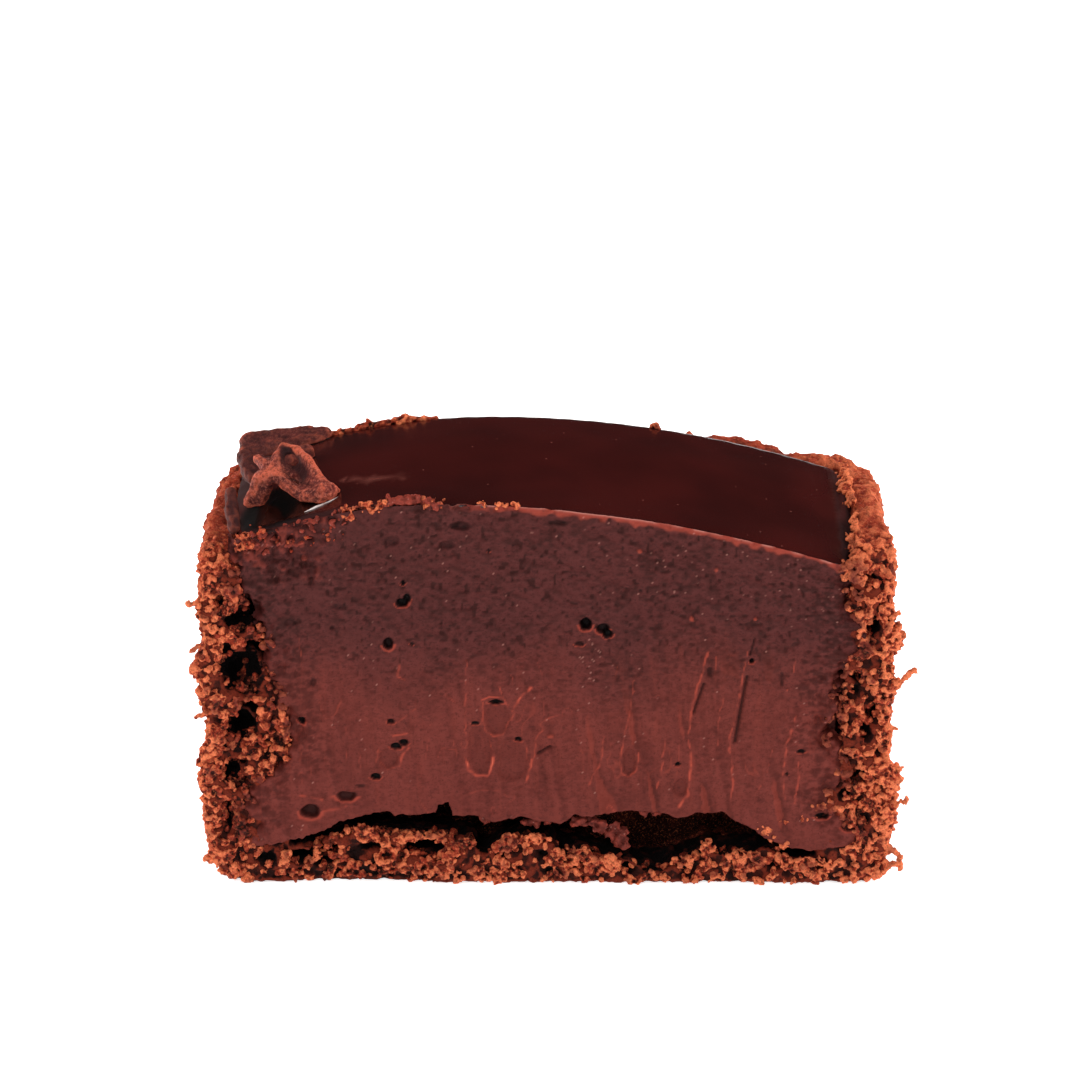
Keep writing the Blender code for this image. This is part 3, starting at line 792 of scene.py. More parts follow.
def inner_band(low_x, high_x, per_mm2):
    """Spots where crumb lies over the filling's edge: (places, directions)."""
    count = int((high_x - low_x) * 24 * per_mm2)
    x, z = chance.uniform(low_x, high_x, count), chance.uniform(0.4, 24.5, count)
    left, right = left_edge(z), right_edge(z)
    keep = ((x > left - 2.2) & (x < left + 0.3)) | ((x > right - 0.3) & (x < right + 2.2))
    keep &= (z > 3.4) & (layered(over(x, z, 0) / 1.1, 27, 2) > -0.5)
    x, z = x[keep], z[keep]
    spots = over(x, CUT + 0.05 + 1.3 * chance.random(len(x)) ** 1.5, z)
    spots = spots[in_caves(spots, 0.1) < chance.uniform(0.1, 0.9, len(spots))]
    return spots, np.tile((0.0, -1.0, 0.0), (len(spots), 1))


def lump_grains(low_x, high_x):
    """The grains of the lumps between two places along the cut."""
    centres, radii, tones = [], [], []
    for lx, lz, wide, tall, lump_tone in LUMPS:
        if not low_x < lx < high_x:
            continue
        centres.append((lx, CUT + 0.5, lz))
        radii.append(0.75 * min(wide, tall))
        tones.append(lump_tone - 0.3)
        for _ in range(int(70 * wide * tall) + 10):
            turn, reach = chance.uniform(0, 2 * math.pi), chance.random() ** 0.5
            gx, gz = lx + wide * reach * math.cos(turn), lz + tall * reach * math.sin(turn)
            centres.append((gx, CUT + abs(0.3 * chance.normal()), gz))
            radii.append(0.08 + 0.18 * chance.random() ** 1.5)
            tones.append(lump_tone - 0.1 + 0.15 * chance.normal())
    return np.array(centres), np.array(radii), np.array(tones)


# Name, window (left, right, bottom, top), voxel and most triangles.
WINDOWS = (
    ("crumb_left", (-27, -18.4, 0, 27), 0.08, 120000),
    ("crumb_right", (19.0, 27, 0, 27), 0.08, 120000),
    ("crumb_base", (-18.4, 19.0, 0, 6.5), 0.085, 110000))
for name, window, voxel, most in WINDOWS:
    on_pastry = scatter(front_points, front_faces, per_mm2=4.6, wanted=broken_end(*window))
    on_edge = inner_band(max(window[0], -24), min(window[1], 24), per_mm2=3.2)
    spots, ways = (np.concatenate(pair) for pair in zip(on_pastry, on_edge))
    grown = clumps(spots, ways, most=12, core=(0.1, 0.32), dust=(0.06, 0.2))
    lumps = lump_grains(*window[:2])
    grains = [np.concatenate(pair) for pair in zip(grown, lumps)]
    crumb_piece(name, grains, voxel, most, relief=0.08)

# %% Crumb on the outer walls and rims
def outer_skin(spots, facing):
    """A weight for scatter(): the outer sides, the rims and the inner sides above the glaze."""
    x, y, z = spots.T
    outward = facing[:, 0] * np.sign(x)
    side = (outward > 0.2) & (np.abs(x) > 22)
    behind = (facing[:, 1] > 0.2) & (y > 9.5)
    rim = (z > 23.0) & (facing[:, 2] > 0.2)
    inner = (z > 23.5) & (outward < -0.3) & (np.abs(x) > 21)
    depth = y - CUT
    seam = 1 + 0.8 * step_up(3.2, 4.2, depth) * (depth < SLAB + 0.5)
    return (side | behind) * seam * (depth > 0.2) * (z > 0.1) + 2.0 * rim + 1.5 * inner


spots, ways = scatter(front_points, front_faces, per_mm2=4.2, wanted=outer_skin)
grown = clumps(spots - 0.2 * ways, ways, most=10, core=(0.12, 0.34), dust=(0.08, 0.18))
crumb_piece("crumb_sides", grown, voxel=0.1, most=92000, relief=0.07, contrast=0.55)

rest = pastry_wall("crumb_walls", SLAB - 0.5, None, voxel=0.4)
wall = arrays_of(rest)
bpy.data.objects.remove(rest)
spots, ways = scatter(*wall, per_mm2=2.2, wanted=outer_skin)
grown = clumps(spots - 0.15 * ways, ways, most=8, core=(0.12, 0.34), dust=(0.1, 0.2))
crumb_piece(
    "crumb_walls", grown, voxel=0.18, most=124000, relief=0.1, contrast=0.45, behind=wall)

# %% Stray crumbs
# Little arms of crumb that stand out from the sides: (x, z, turn in degrees, length).
# Each is a chain of grains that bends a little on its way.
ARMS = (
    (24.7, 15.3, 25, 1.9), (24.5, 8.7, 10, 0.9), (24.6, 6.3, -5, 1.2), (24.2, 3.6, -60, 3.0),
    (25.0, 1.5, 200, 1.1), (-24.9, 21.3, 150, 1.0), (-25.0, 18.3, 190, 0.8),
    (-24.9, 16.6, 175, 0.9), (-24.8, 13.2, 180, 0.7), (-24.2, 2.2, 175, 1.0),
    (-24.5, 10.0, 185, 0.6), (24.1, 20.5, 20, 0.7), (24.1, 12.2, 0, 0.7))
centres, radii, tones = [], [], []
for ax, az, turn, length in ARMS:
    along = np.linspace(0, length, int(length / 0.09) + 2)
    bend = math.radians(turn) + 0.5 * np.sin(along * 2.2 + ax)
    step = along[1] - along[0]
    arm_x = ax + np.cumsum(np.cos(bend)) * step
    arm_z = az + np.cumsum(np.sin(bend)) * step
    for x, z in zip(arm_x, arm_z):
        sway, into, rise = chance.normal(), chance.normal(), chance.normal()
        centres.append((x + 0.06 * sway, CUT + 0.35 + 0.1 * into, max(z, 0.15) + 0.06 * rise))
        radii.append(chance.uniform(0.14, 0.25))
        # Bright tones: painted light, as on crumbs lit from behind at the edges.
        tones.append(0.9 + 0.2 * chance.normal())
crumb_piece("stray_crumbs", (centres, radii, tones), voxel=0.08, most=30000)

# %% [markdown]
# ## Ganache
# The knife dragged the soft filling, so the cut face is a relief map: one
# depth per point of a fine grid. It is mottled and granular above, smoother
# and redder below, where bubbles were smeared into loops with thin lit rims
# and the blade left slanting lines. The chocolate also smeared over the inner
# half of each pastry wall, so the sheet runs on there and dives behind it.

# %% Ganache material
paint = Paint("ganache")
tone, glow, hole, upper, spark = (
    paint.painted(name) for name in ("tone", "glow", "hole", "upper", "spark"))
fine = paint.noise(4200.0, 4.0, 0.7)
dashes = paint.noise(4200.0, 3.0, 0.6, paint.stretch((1.0, 1.0, 1.6)))
streaks = paint.noise(1500.0, 3.0, 0.6, paint.stretch((1.0, 1.0, 0.1)))
# Above, the colours are darker and greyer, a painted sheen; below they are lighter and redder, the
# filling's own tone with painted bounce light from the table.
light = paint.mix(upper, colour(108, 45, 38), colour(80, 34, 32))
dark = paint.mix(upper, colour(78, 27, 21), colour(54, 19, 16))
base = paint.coats(
    paint.mix(tone.ramp(0.1, 0.9), dark, light),
    ((1.0 - dashes.ramp(0.32, 0.48)) * (0.3 + upper * 0.25), colour(44, 14, 12)),
    (streaks.ramp(0.5, 0.75) * (1.0 - upper) * 0.35, colour(122, 50, 40)),
    (fine.ramp(0.52, 0.7) * 0.4, colour(50, 17, 15)),
    # Painted highlights on lit rims, ridges and torn crags, and the real reds of the lip and of small
    # grains.
    (glow.ramp(0.0, 0.6), colour(150, 60, 46)),
    (glow.ramp(0.5, 1.0), colour(214, 104, 78)),
    # Painted shade inside bubbles and slits, and in the gap under the filling.
    (hole, colour(10, 2, 2)),
    (spark, colour(190, 128, 116)))
grit = paint.bump(fine + dashes * 0.6, 0.4, 0.00006)
GANACHE = paint.finish(
    Base_Color=base, Roughness=0.5 + fine * 0.2, Normal=grit, Specular_IOR_Level=0.12)
print("material:", GANACHE.name)

# %% Ganache marks
# Bubbles open at the cut, painted dark inside as shade: (x, z, half width, half height, darkness).
BUBBLES = (
    (-10.5, 23.2, 0.2, 0.17, 1), (-10.6, 21.7, 0.42, 0.3, 1), (-10.2, 22.0, 0.25, 0.38, 1),
    (-11.6, 18.6, 0.37, 0.42, 0.9), (-17.0, 15.7, 0.22, 0.35, 0.5), (-17.9, 12.7, 0.27, 0.28, 1),
    (-11.5, 12.7, 0.28, 0.2, 0.9), (-11.15, 10.8, 0.4, 0.24, 1), (-10.6, 11.1, 0.34, 0.22, 1),
    (-12.6, 8.5, 0.37, 0.22, 1), (-13.7, 7.8, 0.4, 0.11, 0.6), (-14.8, 7.0, 0.7, 0.36, 0.7),
    (-17.4, 5.8, 0.68, 0.5, 0.75), (-9.9, 18.6, 0.15, 0.15, 0.7), (2.5, 20.1, 0.45, 0.42, 1),
    (3.75, 19.75, 0.42, 0.36, 0.9), (4.1, 19.35, 0.34, 0.3, 1), (2.1, 18.6, 0.3, 0.2, 0.7),
    (-5.4, 12.55, 0.3, 0.12, 1), (-3.9, 14.15, 0.5, 0.2, 1), (-2.3, 11.3, 0.28, 0.2, 1),
    (11.4, 16.5, 0.2, 0.38, 0.55), (14.4, 17.3, 0.2, 0.2, 1), (18.1, 10.4, 0.3, 0.14, 1),
    (17.1, 8.7, 0.12, 0.11, 0.9), (9.2, 9.4, 0.22, 0.16, 1), (16.6, 15.9, 0.16, 0.62, 0.55),
    (-4.4, 25.6, 0.14, 0.14, 0.7), (6.4, 22.6, 0.12, 0.12, 0.6), (-15.6, 19.8, 0.16, 0.16, 0.6),
    (-18.6, 20.2, 0.5, 0.28, 0.4), (-15.0, 21.4, 0.6, 0.2, 0.35), (-6.4, 27.4, 0.7, 0.32, 0.55),
    (0.5, 27.7, 0.7, 0.13, 0.6), (19.7, 5.4, 0.5, 0.25, 1), (21.6, 4.5, 0.45, 0.3, 0.9),
    (-7.3, 26.0, 0.5, 0.3, 0.4), (-11.3, 26.3, 0.6, 0.35, 0.35))
# Thin rims and knife lines with painted highlights: (width, strength of the painted highlight, then x,
# z, x, z and so on).
RIMS = (
    (0.10, 0.3, -17.9, 19.0, -18.0, 18.6, -17.8, 18.0, -17.9, 17.0),
    (0.09, 0.25, -18.0, 12.1, -18.1, 10.8, -18.0, 7.9),
    (0.16, 0.4, -10.9, 17.0, -11.0, 16.1, -10.4, 15.9),
    (0.12, 0.2, -16.6, 14.2, -16.2, 13.0, -15.6, 13.1, -15.0, 14.4),
    (0.10, 0.2, -14.7, 11.1, -14.8, 9.6), (0.10, 0.3, -13.8, 10.4, -13.7, 9.0),
    (0.12, 0.4, -12.4, 10.5, -12.6, 9.6), (0.16, 0.6, -11.7, 12.0, -11.4, 11.6, -10.3, 11.8),
    (0.18, 0.6, -10.2, 10.7, -10.7, 10.1, -10.9, 9.3),
    (0.10, 0.3, -10.9, 9.3, -11.8, 9.0, -12.3, 9.5, -12.2, 10.1),
    (0.14, 0.3, -9.7, 13.7, -10.4, 13.1, -11.0, 12.6),
    (0.20, 0.5, -18.1, 7.0, -17.3, 6.9, -16.6, 6.7),
    (0.24, 0.4, -16.5, 5.8, -15.4, 6.0, -14.8, 6.2),
    (0.13, 0.4, -6.1, 14.8, -6.2, 13.2, -6.1, 11.9, -6.1, 9.5, -5.9, 9.0),
    (0.14, 0.5, -4.3, 9.1, -4.0, 10.1, -4.3, 10.7, -4.9, 12.8, -4.9, 14.1),
    (0.20, 1.0, -6.1, 9.6, -5.9, 9.0, -5.3, 8.55, -4.6, 8.6, -4.3, 9.1, -4.1, 10.0),
    (0.15, 0.5, -4.6, 11.9, -4.1, 11.6, -3.4, 11.7, -2.9, 12.8, -2.5, 13.7),
    (0.18, 0.9, -2.8, 13.5, -2.1, 14.6, -1.4, 15.3),
    (0.12, 0.35, -1.3, 15.2, -0.6, 16.0, -0.9, 17.2),
    (0.11, 0.5, -3.7, 15.4, -3.5, 14.7, -3.1, 13.8),
    (0.12, 0.7, -5.0, 14.3, -4.4, 14.6, -3.5, 14.5),
    (0.12, 0.3, -2.9, 16.6, -2.7, 15.7, -2.9, 14.8),
    (0.12, 0.3, -6.0, 17.4, -6.1, 16.1, -6.0, 14.8), (0.10, 0.25, -7.0, 11.6, -6.9, 10.8),
    (0.12, 0.25, -7.6, 14.8, -6.5, 13.7), (0.12, 0.4, -1.8, 11.2, -1.7, 9.9, -1.4, 9.1),
    (0.18, 0.8, -1.3, 9.8, -1.45, 9.0, -1.75, 8.0),
    (0.13, 0.4, 0.6, 13.2, -0.3, 12.9, -0.7, 12.5, -0.6, 12.1, -1.1, 11.2, -1.1, 10.1, -1.4, 9.3),
    (0.14, 0.2, -6.3, 7.0, -5.0, 7.5, -3.6, 7.4, -3.0, 6.9, -2.3, 7.5, -1.5, 7.7),
    (0.11, 0.3, 2.1, 11.4, 2.1, 10.8, 2.3, 10.3),
    (0.12, 0.35, 3.8, 11.6, 3.7, 10.1, 3.5, 9.1, 3.0, 8.6, 2.8, 7.8),
    (0.14, 0.6, 3.7, 10.1, 3.5, 9.1), (0.10, 0.25, 4.8, 17.1, 4.7, 16.1),
    (0.12, 0.35, 6.0, 15.9, 5.8, 13.8, 5.4, 11.9, 5.2, 10.8, 5.0, 9.6, 5.2, 8.7),
    (0.14, 0.5, 5.2, 8.7, 5.6, 8.4, 6.1, 8.8, 6.3, 9.3, 6.4, 10.3),
    (0.15, 0.65, 5.2, 10.8, 5.0, 9.6), (0.13, 0.5, 8.3, 11.7, 8.1, 9.4, 7.7, 7.6),
    (0.16, 0.55, 11.3, 18.1, 10.9, 16.7, 10.2, 13.8, 9.9, 11.7, 10.2, 9.4),
    (0.18, 0.8, 10.2, 9.4, 9.9, 7.0, 9.3, 6.1), (0.12, 0.4, 11.9, 17.6, 11.8, 16.7),
    (0.10, 0.3, 12.7, 15.4, 12.1, 13.2, 12.0, 10.9),
    (0.14, 0.5, 14.1, 18.0, 13.8, 16.1, 13.3, 13.2, 12.9, 11.5),
    (0.15, 0.6, 12.9, 11.5, 13.2, 7.9, 13.0, 5.8), (0.11, 0.4, 17.6, 17.7, 17.4, 16.4),
    (0.15, 0.55, 17.7, 13.2, 17.3, 11.7, 17.0, 10.9, 16.8, 8.8, 17.0, 6.7),
    (0.13, 0.55, 17.9, 9.8, 17.9, 8.2, 17.7, 6.4), (0.10, 0.3, 16.0, 10.6, 15.6, 8.8),
    (0.12, 0.35, 15.3, 7.9, 14.5, 6.7))
# Slits the blade opened, painted dark inside as shade: (width, x, z, x, z and so on).
SLITS = (
    (0.12, 14.1, 16.1, 13.6, 13.2, 13.3, 11.2), (0.10, -0.9, 10.3, 0.0, 10.8),
    (0.09, 11.0, 15.6, 10.3, 13.4), (0.07, 14.6, 19.0, 14.3, 17.8))
# Smooth floors of smeared bubbles: (x, z, half width, half height).
SMEARS = (
    (-5.1, 10.6, 0.85, 1.9), (-3.85, 13.0, 0.95, 1.3), (-2.75, 9.7, 1.15, 1.6),
    (-11.7, 9.9, 0.7, 0.8), (5.7, 9.6, 0.45, 1.1), (9.4, 7.6, 0.5, 0.7))
# Small reddish grains caught in the filling: (x, z, half size).
BERRY_RED = (
    (6.3, 25.6, 0.25), (11.8, 24.2, 0.3), (10.1, 20.5, 0.28), (14.6, 20.5, 0.15), (0.0, 11.6, 0.25),
    (17.0, 15.1, 0.15))
print(len(BUBBLES), "bubbles,", len(RIMS), "lines")


def line_reach(x, z, line, width):
    """1 on a line through these points, 0 further than its width away."""
    nearest = np.full(len(x), 99.0)
    pairs = np.array(line, float).reshape(-1, 2)
    for (ax, az), (bx, bz) in zip(pairs[:-1], pairs[1:]):
        dx, dz = bx - ax, bz - az
        along = np.clip(((x - ax) * dx + (z - az) * dz) / (dx * dx + dz * dz), 0, 1)
        nearest = np.minimum(nearest, np.hypot(x - ax - along * dx, z - az - along * dz))
    return step_up(width, 0.0, nearest)


# %% Ganache grid
# One point for each crossing of the grid, between the pastry base and the lip of the glaze.
ACROSS, UP = 408, 232
GRID_LEFT, GRID_WIDE, GRID_LOW = -23.0, 45.6, 2.4          # mm
glaze_points, glaze_faces = arrays_of(nodes["glaze"])
# The lip is the line through the highest points of the glaze's front.
at_front = glaze_points[glaze_points[:, 1] < CUT + 0.2]
tops = set()
for x, _, z in at_front:
    beside = at_front[np.abs(at_front[:, 0] - x) < 0.8]
    if z > beside[:, 2].max() - 0.3:
        tops.add((x, z))
lip_at = line_through(sorted(tops))

u, v = (part.ravel() for part in np.meshgrid(np.linspace(0, 1, ACROSS), np.linspace(0, 1, UP)))
x = GRID_LEFT + GRID_WIDE * u
lip = lip_at(x) - 0.1
z = GRID_LOW + v * (lip - GRID_LOW)
flat = over(x, 0, z)
ragged = 0.42 * layered(flat / 0.9, 3, 3) + 0.2 * layered(flat / 0.3, 6, 2)
wavy = 0.08 * layered(flat / 0.5, 4, 2)
from_left = x - left_edge(z) + ragged
from_right = right_edge(z) - x + ragged
from_below = z - bottom_edge(x) + 0.3 * ragged
from_wall = np.minimum(from_left, from_right)
inside = np.minimum(from_wall, from_below)
print(len(x), "grid points,", int((inside > 0).sum()), "of them on the filling")

# %% Ganache texture
# Where: lower is the smooth redder part, and the knife combed its right side.
lower = step_up(21.0, 12.0, z + 1.4 * layered(flat / 5.0, 8, 2))
combed = lower * step_up(0.0, 5.0, x)
even = step_up(0.15, 0.5, layered(flat / 1.6, 57, 2)) * step_up(-6.0, -12.0, x)
beside_wall = step_up(3.6, 1.6, from_wall) * step_up(3.0, 5.0, z)
# What: noise stretched along the way the knife went, which leaned a little.
lean = x + 0.16 * (z - 12) + wavy
drag = layered(over(lean / 0.5, z / 9.0, 0), 40, 3) * lower
comb = step_up(0.2, 0.8, lattice(over(lean / 0.75, z / 6.0, 0), 44)) * combed
ridge = step_up(0.5, 0.62, lattice(over(lean / 0.75 + 0.3, z / 6.0, 0), 44))
top_streak = lattice(over(lean / 0.3, z / 5.0, 0), 46) * step_up(3.0, 8.0, x) * (1 - lower)
dashed = layered(over(x / 0.34, z / 0.22, 0), 50, 3)
blotch = layered(flat / 2.4, 52, 3)
veins = np.abs(layered(over(x / 1.2, z / 2.4, 0), 61, 2))

depth = 0.03 * drag + 0.045 * dashed * (1 - 0.7 * lower) * (1 - 0.6 * even) + 0.08 * blotch
depth += 0.09 * comb + 0.03 * top_streak
depth += beside_wall * 0.1 * np.maximum(layered(flat / 0.7, 56, 3), -0.3)
tone = 0.64 + 0.14 * drag + 0.36 * dashed * (1 - 0.55 * lower) * (1 - 0.7 * even) + 0.09 * blotch
tone += beside_wall * (0.3 * dashed - 0.16 + 0.25 * layered(flat / 0.8, 55, 2))
# Painted shade in the combed grooves.
tone += 0.18 * top_streak - 0.30 * comb
# Painted highlights on the combed ridges, and lighter thin veins lower down.
glow = 0.22 * ridge * (0.25 * lower + 0.75 * combed)
glow += 0.25 * step_up(0.09, 0.0, veins) * lower * step_up(0.2, 0.6, lattice(flat / 1.5, 62))
print("relief from", round(depth.min(), 2), "to", round(depth.max(), 2), "mm")

# %% Ganache bubbles and lines
hole = np.zeros_like(x)
for bx, bz, wide, tall in SMEARS:
    reach = np.hypot((x - bx) / wide, (z - bz) / tall) + 0.12 * lattice(flat / 0.5, 63)
    floor_of = step_up(1.1, 0.8, reach)
    depth += 0.22 * floor_of
    tone += (0.56 - tone) * 0.8 * floor_of
    glow *= 1 - floor_of
for bx, bz, wide, tall, darkness in BUBBLES:
    wobble = 0.2 * lattice(flat / 0.3 + bx, 60)
    reach = np.hypot((x - bx) / wide, (z - bz) / tall) + wobble
    depth += 1.6 * darkness * min(wide, tall) * step_up(1.15, 0.6, reach)
    hole = np.maximum(hole, darkness * step_up(1.2, 0.85, reach))
    # A painted highlight on each dark bubble's lower rim.
    if darkness > 0.6:
        lit_rim = step_up(1.75, 1.3, reach) * step_up(1.0, 1.2, reach) * (z < bz)
        glow = np.maximum(glow, 0.45 * lit_rim)
broken = 0.5 + 0.8 * lattice(flat / 0.35, 64)
for width, strength, *line in RIMS:
    reach = line_reach(x + wavy, z, line, width * 0.95)
    share = np.clip(broken + strength * 0.45, 0, 1)
    glow = np.maximum(glow, (0.16 + 0.66 * strength) * reach * share)
    depth -= 0.03 * reach
for width, *line in SLITS:
    reach = line_reach(x, z, line, width * 1.6)
    hole = np.maximum(hole, 0.75 * reach)
    depth += 0.25 * reach
for bx, bz, size in BERRY_RED:
    reach = np.hypot(x - bx, z - bz) / size + 0.4 * lattice(flat / 0.25, 65)
    glow = np.maximum(glow, 0.42 * step_up(1.0, 0.3, reach))
    depth -= 0.12 * step_up(1.1, 0.4, reach)
print("relief from", round(depth.min(), 2), "to", round(depth.max(), 2), "mm")

# %% Ganache pits, torn lip and sparks
pits = step_up(0.55, 0.75, lattice(flat / 0.3, 71)) * (1 - 0.75 * lower)
depth += 0.1 * pits
# Painted shade in the pits.
tone -= 0.55 * pits

below_lip = lip - z
torn_corner = step_up(23.6, 24.8, z + 0.25 * (x + 22) + 0.8 * lattice(flat / 1.2, 72))
torn_lip = step_up(1.0, 0.1, below_lip) * step_up(0.1, 0.5, lattice(flat / 1.3, 73))
torn = np.maximum(step_up(-15.0, -17.5, x) * torn_corner, torn_lip * step_up(6.0, -4.0, x))
crags = layered(flat / 0.5, 74, 3)
depth += torn * 0.35 * crags
# Painted shade in the torn crags' hollows, and painted highlights on what stands out.
tone -= torn * np.maximum(crags, 0) * 0.5
glow = np.maximum(glow, torn * step_up(0.0, 0.8, -crags) * 0.24)
red_lip = step_up(0.6, 0.2, below_lip + 0.25 * layered(flat / 0.6, 77, 2))
glow = np.maximum(glow, 0.42 * red_lip * step_up(-9.0, -3.0, x))

# Painted glints: a broken line along the lip, a patch of them, and a few scattered points.
wet_edge = step_up(0.13, 0.05, below_lip) * step_up(-9.0, -5.0, x)
spark = wet_edge * np.clip(0.35 + 0.9 * lattice(over(x / 0.7, 0, 0), 75), 0, 0.75)
odds = np.where(z > 22, 0.003, 0.0015) * (1 + 2.2 * step_up(4, 14, x) * (z > 20))
wet_patch = step_up(1.0, 0.5, np.hypot((x - 2.7) / 1.3, (z - 17.4) / 2.2))
odds += 0.035 * wet_patch * (hole < 0.1)
spark = np.maximum(spark, (chance.random(len(x)) < odds) * chance.uniform(0.1, 0.5, len(x)))
spark *= 1 - hole
print(int((spark > 0.1).sum()), "wet points")

# %% Ganache face
# The sheet folds back at its edges, behind the pastry and over the gap.
y = CUT - 0.06 + np.minimum(depth, 1.2)
y += 1.3 * step_up(0.05, -0.85, inside) + 1.5 * step_up(0.0, -0.5, from_below)
y += step_up(1.6, 0.0, from_wall) * np.maximum(0.25 + 0.35 * layered(flat / 0.8, 76, 2), 0)
# Painted shade: black below the filling's bottom edge, in the gap.
hole = np.maximum(hole, step_up(0.0, -0.2, from_below))
index = np.arange(ACROSS * UP).reshape(UP, ACROSS)
quads = np.stack([index[:-1, :-1], index[:-1, 1:], index[1:, 1:], index[1:, :-1]], -1)
quads = quads.reshape(-1, 4)
quads = quads[(inside[quads] > -0.95).all(axis=1)]
face = new_object("ganache_cut", over(x, y, z), quads, GANACHE)
store(
    face, tone=np.clip(tone, 0, 1), glow=np.clip(glow, 0, 1), hole=hole, upper=1 - lower,
    spark=spark)
dress(face, "filling")

# %% Ganache body
core = object_of(solid_copy("filling"), "ganache_body")
core.data.materials.clear()
core.data.materials.append(GANACHE)
points, _ = arrays_of(core)
x, y, z = points.T
y[:] = np.maximum(y, CUT + 1.6)
over_opening = (y < CUT + SLAB) & (z < 7.5) & (np.abs(x) < 18.5)
z[:] = np.where(over_opening, np.maximum(z, bottom_edge(x) + 0.3), z)
move_to(core, points)
# Painted shade: the body turns black low down, over the gap under the filling.
store(core, tone=0.5, glow=0.0, upper=0.6, spark=0.0, hole=step_up(8.5, 6.5, z))
dress(core, "filling")

# %% [markdown]
# ## Crumbs along the lip
# The knife pushed crumbs of pastry and filling up against the top of the cut:
# a torn orange band at the left corner, a raised reddish ridge beside it, and
# a few bright grains further along. Some crumbs also lie on the far edge.

# %% Lip crumbs
def along_lip(low_x, high_x, drop, count, spread, size, tone):
    """Grains in a band under or on the glaze's front edge."""
    gx = chance.uniform(low_x, high_x, count)
    gz = lip_at(gx) - drop + spread[1] * chance.normal(size=count)
    gy = CUT - 0.05 + spread[0] * np.abs(chance.normal(size=count))
    radii = size[0] + (size[1] - size[0]) * chance.random(count) ** 2
    return over(gx, gy, gz), radii, tone + 0.15 * chance.normal(size=count)


# From, to, drop under the lip, how many, spread in depth and height, sizes, tone.
bands = (
    along_lip(-22.4, -20.4, 0.5, 170, (0.35, 0.35), (0.08, 0.22), 0.55),
    along_lip(-21.6, -16.2, 1.3, 70, (0.3, 0.4), (0.07, 0.2), 0.2),
    along_lip(-18.4, -14.6, 1.7, 36, (0.25, 0.4), (0.07, 0.18), 0.15),
    along_lip(-14.9, -13.2, 0.4, 120, (0.3, 0.32), (0.08, 0.2), 0.55),
    along_lip(-13.2, -11.6, 0.05, 50, (0.3, 0.2), (0.09, 0.24), 0.45),
    along_lip(-9.0, -7.6, 0.1, 26, (0.3, 0.2), (0.09, 0.22), 0.45),
    along_lip(-5.1, -4.5, 0.0, 14, (0.2, 0.12), (0.1, 0.2), 0.75),
    along_lip(-4.0, -2.9, 0.02, 14, (0.2, 0.1), (0.08, 0.16), 0.6),
    along_lip(-2.7, -2.3, -0.05, 12, (0.2, 0.12), (0.1, 0.2), 0.75),
    along_lip(20.5, 22.4, 0.4, 110, (0.4, 0.4), (0.1, 0.28), 0.9))
grains = [np.concatenate(parts) for parts in zip(*bands)]
crumb_piece("lip_crumbs", grains, voxel=0.08, most=28000, relief=0.09)

# %% Far crumbs
FAR_SIDE = 8.3                               # y of the glaze's far side, in mm
BY_HEIGHT, BY_DISTANCE = 0.955, 0.296        # what lifts a spot in the camera's view
PER_HEAP, ALONG_SIDE = 34, 420               # grains
glaze_tree = BVHTree.FromPolygons(glaze_points.tolist(), glaze_faces.tolist())


def on_glaze(x, y):
    """The height of the glaze's top there, in mm."""
    return glaze_tree.ray_cast(Vector((x, y, 60.0)), Vector((0, 0, -1)))[0].z


def skyline(x):
    """The place on the glaze that stands highest against the background."""
    ys = np.linspace(-6.0, FAR_SIDE, 44)
    return max(ys, key=lambda y: on_glaze(x, y) * BY_HEIGHT + y * BY_DISTANCE)


# Heaps along the glaze's far side: (x, half width, half height, tone).
HEAPS = (
    (-15.9, 0.5, 0.3, 0.8), (-15.0, 0.5, 0.2, 0.45), (-14.3, 0.4, 0.45, 0.5),
    (-13.7, 0.45, 0.6, 0.6), (-13.0, 0.4, 0.35, 0.45), (-12.2, 0.4, 0.3, 0.7),
    (-11.6, 0.4, 0.45, 0.75), (-10.9, 0.4, 0.6, 0.8), (-10.3, 0.4, 0.45, 0.7),
    (-9.4, 0.5, 0.15, 0.6), (8.0, 0.25, 0.4, 0.6))
centres, radii, tones = [], [], []
for hx, wide, tall, heap_tone in HEAPS:
    far_y = skyline(hx)
    for _ in range(PER_HEAP):
        gx = hx + 0.6 * wide * chance.normal()
        gy = min(far_y + 0.3 * chance.normal(), FAR_SIDE)
        taper = math.exp(-(((gx - hx) / wide) ** 2))
        centres.append((gx, gy, on_glaze(gx, gy) - 0.05 + taper * tall * chance.random() ** 1.4))
        radii.append(chance.uniform(0.12, 0.26))
        tones.append(heap_tone - 0.3 + 0.15 * chance.normal())
# More heaps along its right side.
for _ in range(ALONG_SIDE):
    gy = chance.uniform(CUT + 0.4, 7.0)
    heap = math.sin(1.9 * gy) + math.sin(0.7 * gy + 1) + 0.8 * chance.normal()
    if heap > -0.4:
        gx = 22.3 - (0.5 + 0.25 * max(heap, 0)) * chance.random() ** 1.5
        centres.append((gx, gy, on_glaze(20.4, gy) + 0.5 * (gx - 21.8) + 0.1 * chance.normal()))
        radii.append(chance.uniform(0.1, 0.24))
        tones.append(0.35 + 0.15 * chance.normal())
crumb_piece("far_crumbs", (centres, radii, tones), voxel=0.1, most=20000)

